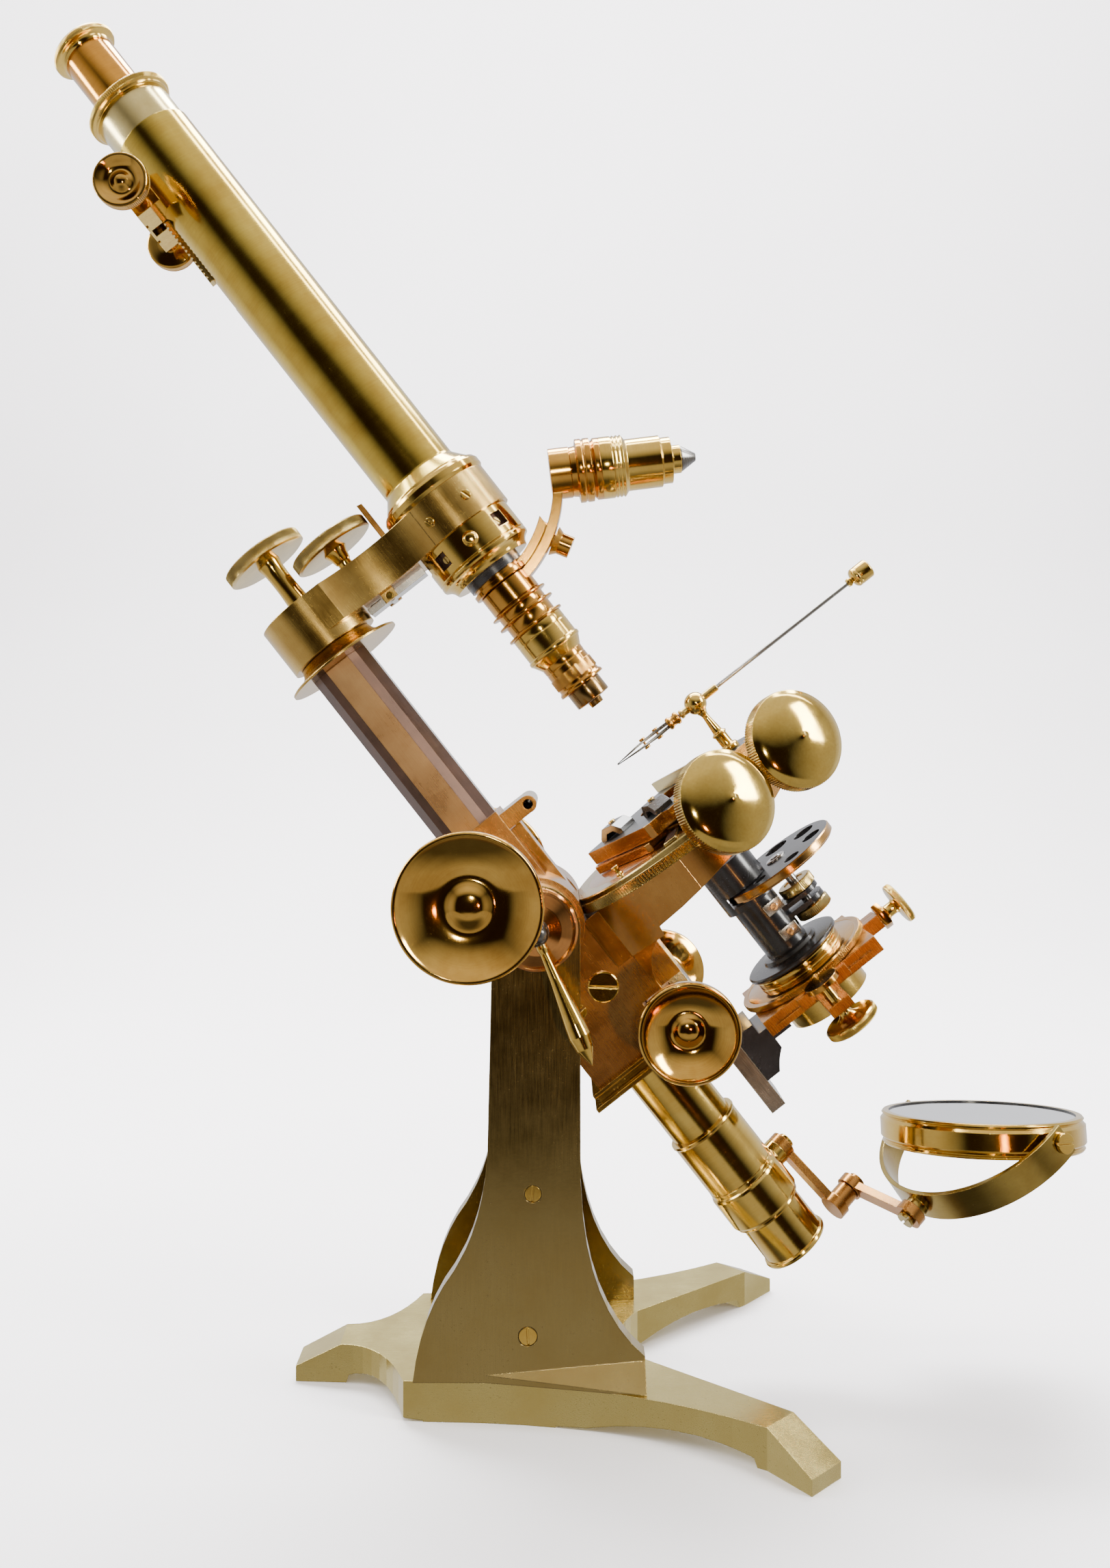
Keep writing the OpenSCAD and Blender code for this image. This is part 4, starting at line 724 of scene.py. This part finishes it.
BALL = FORCEPS @ shift(z=29.5)
ROD = BALL @ turn(90, "Y")
lathe("forceps_pillar", [(0, 1), (1.5, 1), (1.5, 5.8), (4, 5.8), (4, 7.6), (3.6, 8.2),
                         (2.6, 8.6), (2.6, 13.2), (3.2, 13.7), (3.2, 14.3), (2.2, 15)]
      + curve([(2.0, 16), (1.6, 20), (1.4, 23), (1.7, 24.4)])
      + [(2.2, 25), (2.2, 25.35), (1.0, 24.75), (0, 24.7)],
      FORCEPS, "forceps_post", "gold_turned", "lacquered_brass", ("forceps_post",))
ball = [(4.6 * sin(radians(a)), -4.6 * cos(radians(a))) for a in range(0, 181, 6)]
ball[0], ball[-1] = (0, -4.6), (0, 4.6)
lathe("forceps_ball", ball, BALL, "forceps_clip", "gold", "lacquered_brass", ("forceps_clip",), chamfer=0)
for name, profile in (("front", [(0.9, -8), (1.5, -8), (1.9, -7.5), (1.9, -6.6), (1.5, -6.2), (1.7, -3.5),
                                 (0.9, -3.5)]),
                      ("back", [(0.9, 3.5), (1.8, 3.5), (1.6, 4.6), (1.6, 10.6), (1.3, 11), (0.9, 11)])):
    lathe("forceps_sleeve_" + name, profile, ROD, "forceps_clip", "pale_turned", "lacquered_brass")
lathe("forceps_shaft", [(0, -14), (0.85, -14), (0.85, 79), (0, 79)], ROD, "forceps_rod", "steel", "steel",
      ("forceps_rod",))
lathe("forceps_barrel", [(0, 78), (1.6, 78), (1.9, 79.2), (1.2, 80.2),
                         (3.2, 80.9), (4, 81.8), (4, 83), (3.8, 83.2), (4, 83.4), (4, 88.4), (3.4, 89),
                         (2.8, 89), (2.5, 87), (0, 86.6)], ROD,
      "forceps_rod", "gold_turned", "lacquered_brass")
lathe("forceps_chuck", [(0, -14.4), (1.7, -14.4), (2.5, -14), (2.7, -13.4), (2.7, -12.6), (2.1, -12.2),
                        (2.1, -10.6), (2.7, -10.2), (2.7, -9), (1.8, -8.4), (0, -8.2)], ROD,
      "forceps_rod", "copper_piece", "lacquered_brass")
for i, up in enumerate((1, -1)):
    extrude(f"forceps_jaw_{i}", [(-13.6, 0.15 * up), (-13.6, 1.5 * up), (-20, 1.7 * up), (-30, 1.2 * up),
                                 (-40, 0.3 * up), (-40, 0.02 * up), (-28, 0.5 * up)][::up],
            -1.1, 1.1, BALL @ ACROSS, "forceps_rod", "dark_steel", bevel=0.12)
for i, x in enumerate((-19.5, -26)):
    lathe(f"forceps_rivet_{i}", [(0, -2.4), (1.3, -2.4), (1.3, -1.5), (0.6, -1.4), (0.6, 1.4), (1.3, 1.5),
                                 (1.3, 2.4), (0, 2.4)], BALL @ shift(x), "forceps_rod", "copper_piece",
          "steel", steps=32, chamfer=0.1)

# ---- substage ----

lathe("substage_ring_teeth", [(14, -92.5), (16, -92.5), (16, -85.8), (29.7, -85.8), (30, -85.5),
(30, -83.7),
                              (29.7, -83.4), (27.5, -83.4), (27.3, -83.55), (27.0, -83.4), (14, -83.4)],
      OPTIC, "substage_ring", "copper_turned", "bronzed_brass", ("substage_ring",), teeth=190,
      milled=(-85.6, -83.6), depth=0.6, chamfer=0)
lathe("substage_ring_drum", [(14, -83.6), (20, -83.6), (20, -82.6), (19.7, -82.4), (20, -82.2), (20, -79.4),
                             (19.4, -78.8), (14, -78.8)], OPTIC, "substage_ring", "nose_gold",
      "bronzed_brass")
RING_PINION = OPTIC @ shift(y=-37.9)
lathe("ring_pinion_head", [(0, -105.5), (10.4, -105.5), (11.2, -104.9), (11.2, -102.4), (10.4, -101.8)]
      + curve([(8, -101.6), (4.6, -101.2), (2.8, -99.6), (2.6, -97.7)])
      + [(2, -97.7), (2, -85.8), (0, -85.8)],
      RING_PINION, "ring_pinion", "gold_turned", "lacquered_brass", ("ring_pinion",), teeth=90,
      milled=(-104.9, -102.4), depth=0.35, chamfer=0.1)
lathe("ring_pinion_gear", [(0, -85.8), (7.4, -85.8), (7.4, -83.6), (0, -83.6)], RING_PINION, "ring_pinion",
      "copper_piece", "bronzed_brass", teeth=46, milled=(-85.8, -83.6), depth=0.6, chamfer=0)
CENTRING = OPTIC @ shift(z=-89.5) @ turn(90, "Y")
extrude("centring_screw_block", circle(6, 6), 36.8, 40.2, CENTRING, "centring_screw", "copper_piece",
        ("centring_screw",), bevel=0.4)
lathe("centring_screw_head", [(0, 23), (2.8, 23), (2.8, 40.2),
                              (3.6, 40.5), (2.8, 41.2), (2.8, 44.6), (3.6, 45.5), (8.4, 45.8), (9, 46.4),
                              (9, 48.4), (8.4, 49), (2.5, 48.8), (0, 48.9)], CENTRING,
      "centring_screw", "gold_turned", "lacquered_brass", teeth=80, milled=(46.4, 48.4), depth=0.3,
      chamfer=0.1)

wheel = lathe("aperture_wheel_disc", [(0, -47.2), (25.3, -47.2), (25.3, -46.6), (26.1, -46.5),
(26.5, -46.2),
                                      (26.5, -43.6), (26.1, -43.2), (0, -43.2)], WHEEL, "aperture_wheel",
              "copper_wheel", "bronzed_brass", ("aperture_wheel",), chamfer=0)
for i in range(7):
    hole = lathe_mesh("hole", [(0, -49), (2.4 + i * 0.65, -49), (2.4 + i * 0.65, -41), (0, -41)], steps=64,
                      chamfer=0)
    cutter = bpy.data.objects.new("hole", hole)
    bpy.context.scene.collection.objects.link(cutter)
    cutter.matrix_world = WHEEL @ turn(180 + i * 360 / 7, "Z") @ shift(18.4)
    bpy.context.view_layer.update()
    cut = wheel.modifiers.new("hole", "BOOLEAN")
    cut.object, cut.operation, cut.solver = cutter, "DIFFERENCE", "EXACT"
    apply_modifiers(wheel)
    bpy.data.objects.remove(cutter)
wheel.data.materials.append(looks["worn_black"])
wheel.data.materials.append(looks["black"])
for polygon in wheel.data.polygons:
    centre, normal = polygon.center / MM, polygon.normal
    if abs(normal.z) > 0.9 and centre.z > -43.5:
        polygon.material_index = len(wheel.data.materials) - 2
    elif centre.xy.length < 25 and abs(normal.z) < 0.5:
        polygon.material_index = len(wheel.data.materials) - 1
lathe("aperture_wheel_boss", [(0, -43.4), (4.6, -43.4), (4.6, -42.7), (4.0, -42.4),
                              (2.4, -42.4), (2.2, -42.0), (0, -42.0)], WHEEL, "aperture_wheel", "steel",
                              "steel")
for name, low_z in (("upper", -59.4), ("lower", -70.6)):
    lathe(f"aperture_wheel_nut_{name}", [(0, low_z), (7.4, low_z), (8, low_z + 0.5), (8, low_z + 3.9),
                                         (7.4, low_z + 4.4), (5, low_z + 4.4), (4.6, low_z + 4),
                                         (0, low_z + 4)],
          WHEEL, "aperture_wheel", "pale_turned", "lacquered_brass", teeth=64,
          milled=(low_z + 0.5, low_z + 3.9), depth=0.4, chamfer=0)
lathe("aperture_wheel_spindle", [(0, -71), (2.2, -71), (2.2, -45), (0, -45)], WHEEL, "aperture_wheel",
      "steel", "steel")

# ---- screws of the stand and limb ----

for side, way in ((-1, 90), (1, -90)):
    end = "front" if side < 0 else "back"
    for name, x, z, r, h, slot_turn in (("large", 4.8, -37, 6.3, 1.5, -40), ("small", -9, -39, 3, 0.8, 10)):
        slotted_head(f"limb_screw_{name}_{end}", r, h, LIMB @ shift(x, side * 20, z) @ turn(way, "X"),
        "limb",
                     "gold_turned", slot_turn, 0.9, 0.9)
    for name, x, z, r in (("upper", -1.3, 88.6, 3.35), ("lower", -3.3, 33.5, 3.75)):
        slotted_head(f"pillar_screw_{name}_{end}", r, 1.8,
                     TRUNNION @ shift(x, side * 37.6, z - 191) @ turn(way, "X"), "stand", "gold_turned",
                     r * 25, 0.9, 0.9)
for i, (x, z) in enumerate(((79, -56), (78, -68))):
    clamp_at = LIMB @ shift(x, -9.5, z) @ turn(90, "X")
    extrude(f"condenser_clamp_{i}", rect(-4.2, -2.6, 4.2, 2.6), 0, 1.6, clamp_at,
            "substage_ring", "nickel",
            bevel=0.4)
    slotted_head(f"condenser_clamp_screw_{i}", 1.7, 0.8, clamp_at @ shift(z=1.6), "substage_ring", "steel",
                 35, 0.5, 0.5)
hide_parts("limb_screws")
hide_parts("pillar_screws")


# ---- stage, camera and light ----

def backdrop():
    """A plain floor that sweeps up behind the object."""
    mesh, bm = bpy.data.meshes.new("backdrop"), bmesh.new()
    half_w, front, wall, radius, height = 3.0, -2.2, 1.1, 0.55, 2.6
    line = [(front, 0.0)] + [(wall - radius + radius * sin(radians(a)), radius - radius * cos(radians(a)))
                             for a in range(0, 91, 6)] + [(wall, height)]
    rows = [[bm.verts.new((x, y, z)) for x in (-half_w, half_w)] for y, z in line]
    for a, b in zip(rows, rows[1:]):
        bm.faces.new((a[0], a[1], b[1], b[0]))
    bm.to_mesh(mesh)
    bm.free()
    for polygon in mesh.polygons:
        polygon.use_smooth = True
    n = Nodes("pale_backdrop")
    where = n.place(None)
    cloud = n.noise(where, 1.6, 3.0, 0.5)
    n.link(n.mix(n.stretch(cloud, 0.35, 0.7), (0.86, 0.84, 0.87), (0.93, 0.92, 0.95)),
           n.shader.inputs["Base Color"])
    n.link(n.stretch(n.noise(where, 400), 0.3, 0.7, 0.75, 0.9), n.shader.inputs["Roughness"])
    mesh.materials.append(n.material)
    floor = bpy.data.objects.new("backdrop", mesh)
    bpy.context.scene.collection.objects.link(floor)
    floor.visible_glossy = False   # the brass mirrors the room below, not this bare sheet


def area_light(name, place, target, size, power, color=(1, 1, 1), spread=180):
    data = bpy.data.lights.new(name, "AREA")
    data.shape, data.size, data.size_y = "RECTANGLE", size[0], size[1]
    data.energy, data.color, data.spread = power, color, radians(spread)
    lamp = bpy.data.objects.new(name, data)
    bpy.context.scene.collection.objects.link(lamp)
    lamp.location = place
    lamp.rotation_euler = (Vector(target) - Vector(place)).to_track_quat("-Z", "Y").to_euler()


def room():
    """White behind and at the sides, a lit ceiling and near table, and a dim room behind the camera."""
    world = bpy.data.worlds.new("room")
    bpy.context.scene.world = world
    world.use_nodes = True
    tree = world.node_tree

    def add(kind, operation=None, **inputs):
        node = tree.nodes.new("ShaderNode" + kind)
        if operation:
            node.operation = operation
        for index, value in inputs.items():
            socket = node.inputs[int(index[1:])]
            if hasattr(value, "links"):
                tree.links.new(value, socket)
            else:
                socket.default_value = value
        return node

    parts = add("SeparateXYZ", _0=add("TexCoord").outputs["Generated"])
    ramp = add("ValToRGB", _0=add("Math", "MULTIPLY_ADD", _0=parts.outputs["Y"], _1=0.5, _2=0.5).outputs[0])
    stops = ramp.color_ramp.elements
    stops[0].position, stops[0].color = 0.16, (0.020, 0.011, 0.006, 1)
    stops[1].position, stops[1].color = 0.74, (1.0, 1.0, 1.04, 1)
    for position, color in ((0.34, (0.045, 0.026, 0.015)), (0.45, (0.16, 0.12, 0.08)),
                            (0.57, (0.72, 0.70, 0.70))):
        stops.new(position).color = (*color, 1)
    # a lit ceiling, and the near part of the table
    ceiling = add("MapRange", _0=parts.outputs["Z"], _1=0.30, _2=0.80, _3=0.0, _4=1.0)
    near = add("MapRange", _0=parts.outputs["Z"], _1=-0.32, _2=-0.36, _3=0.0, _4=0.55)
    under = add("MapRange", _0=parts.outputs["Z"], _1=-0.60, _2=-0.85, _3=1.0, _4=0.16)
    table = add("Math", "MULTIPLY", _0=near.outputs[0], _1=under.outputs[0])
    sides = add("MapRange", _0=add("Math", "ABSOLUTE", _0=parts.outputs["X"]).outputs[0], _1=0.55, _2=0.92,
                _3=0.0, _4=0.62)
    extra = add("Math", "MAXIMUM", _0=ceiling.outputs[0], _1=table.outputs[0])
    extra = add("Math", "MAXIMUM", _0=extra.outputs[0], _1=sides.outputs[0])
    tint = add("VectorMath", "MULTIPLY", _0=(1.0, 0.93, 0.82), _1=extra.outputs[0])
    total = add("VectorMath", "MAXIMUM", _0=ramp.outputs[0], _1=tint.outputs[0])
    seen = tree.nodes["Background"]
    tree.links.new(total.outputs[0], seen.inputs["Color"])
    seen.inputs["Strength"].default_value = 1.15
    plain = tree.nodes.new("ShaderNodeBackground")
    plain.inputs["Color"].default_value = (0.92, 0.92, 0.94, 1)
    plain.inputs["Strength"].default_value = 1.6
    either = tree.nodes.new("ShaderNodeMixShader")
    tree.links.new(tree.nodes.new("ShaderNodeLightPath").outputs["Is Camera Ray"], either.inputs[0])
    tree.links.new(seen.outputs[0], either.inputs[1])
    tree.links.new(plain.outputs[0], either.inputs[2])
    tree.links.new(either.outputs[0], tree.nodes["World Output"].inputs["Surface"])


backdrop()
room()
area_light("key", (1.10, -0.45, 1.00), (0, 0, 0.30), (0.30, 0.75), 11, (1.0, 0.99, 0.95), 120)
area_light("left", (-1.25, 0.05, 0.75), (0, 0, 0.30), (0.25, 0.8), 6, (1.0, 0.99, 0.97), 120)
area_light("floor_wash", (0.0, 0.75, 1.75), (0, 0.25, 0), (1.8, 0.5), 34, spread=95)
area_light("backdrop_wash", (0.0, 0.10, 1.50), (0, 1.10, 1.15), (2.4, 0.5), 75)
area_light("ember", (0.30, -1.2, 0.10), (0.1, 0, 0.2), (0.06, 0.06), 0.9, (1.0, 0.40, 0.08))
area_light("lamp", (0.02, -1.3, 0.42), (0, 0, 0.25), (0.06, 0.06), 3.0, (1.0, 0.94, 0.80))

CAMERA_X = 7.2               # mm from the middle of the trunnion axis
CAMERA_OUT = 529             # mm in front of the middle plane
CAMERA_Z = 269.7             # mm above the table
camera_data = bpy.data.cameras.new("camera")
camera_data.sensor_width = 36
camera_data.lens = 36 * 1852 / 2294
camera_data.shift_y = -85 / 2294
camera_data.clip_start = 0.01
camera = bpy.data.objects.new("camera", camera_data)
bpy.context.scene.collection.objects.link(camera)
camera.location = (joint_at("limb_tilt").x + CAMERA_X * MM, -CAMERA_OUT * MM, CAMERA_Z * MM)
camera.rotation_euler = (radians(90), 0, 0)
bpy.context.scene.camera = camera
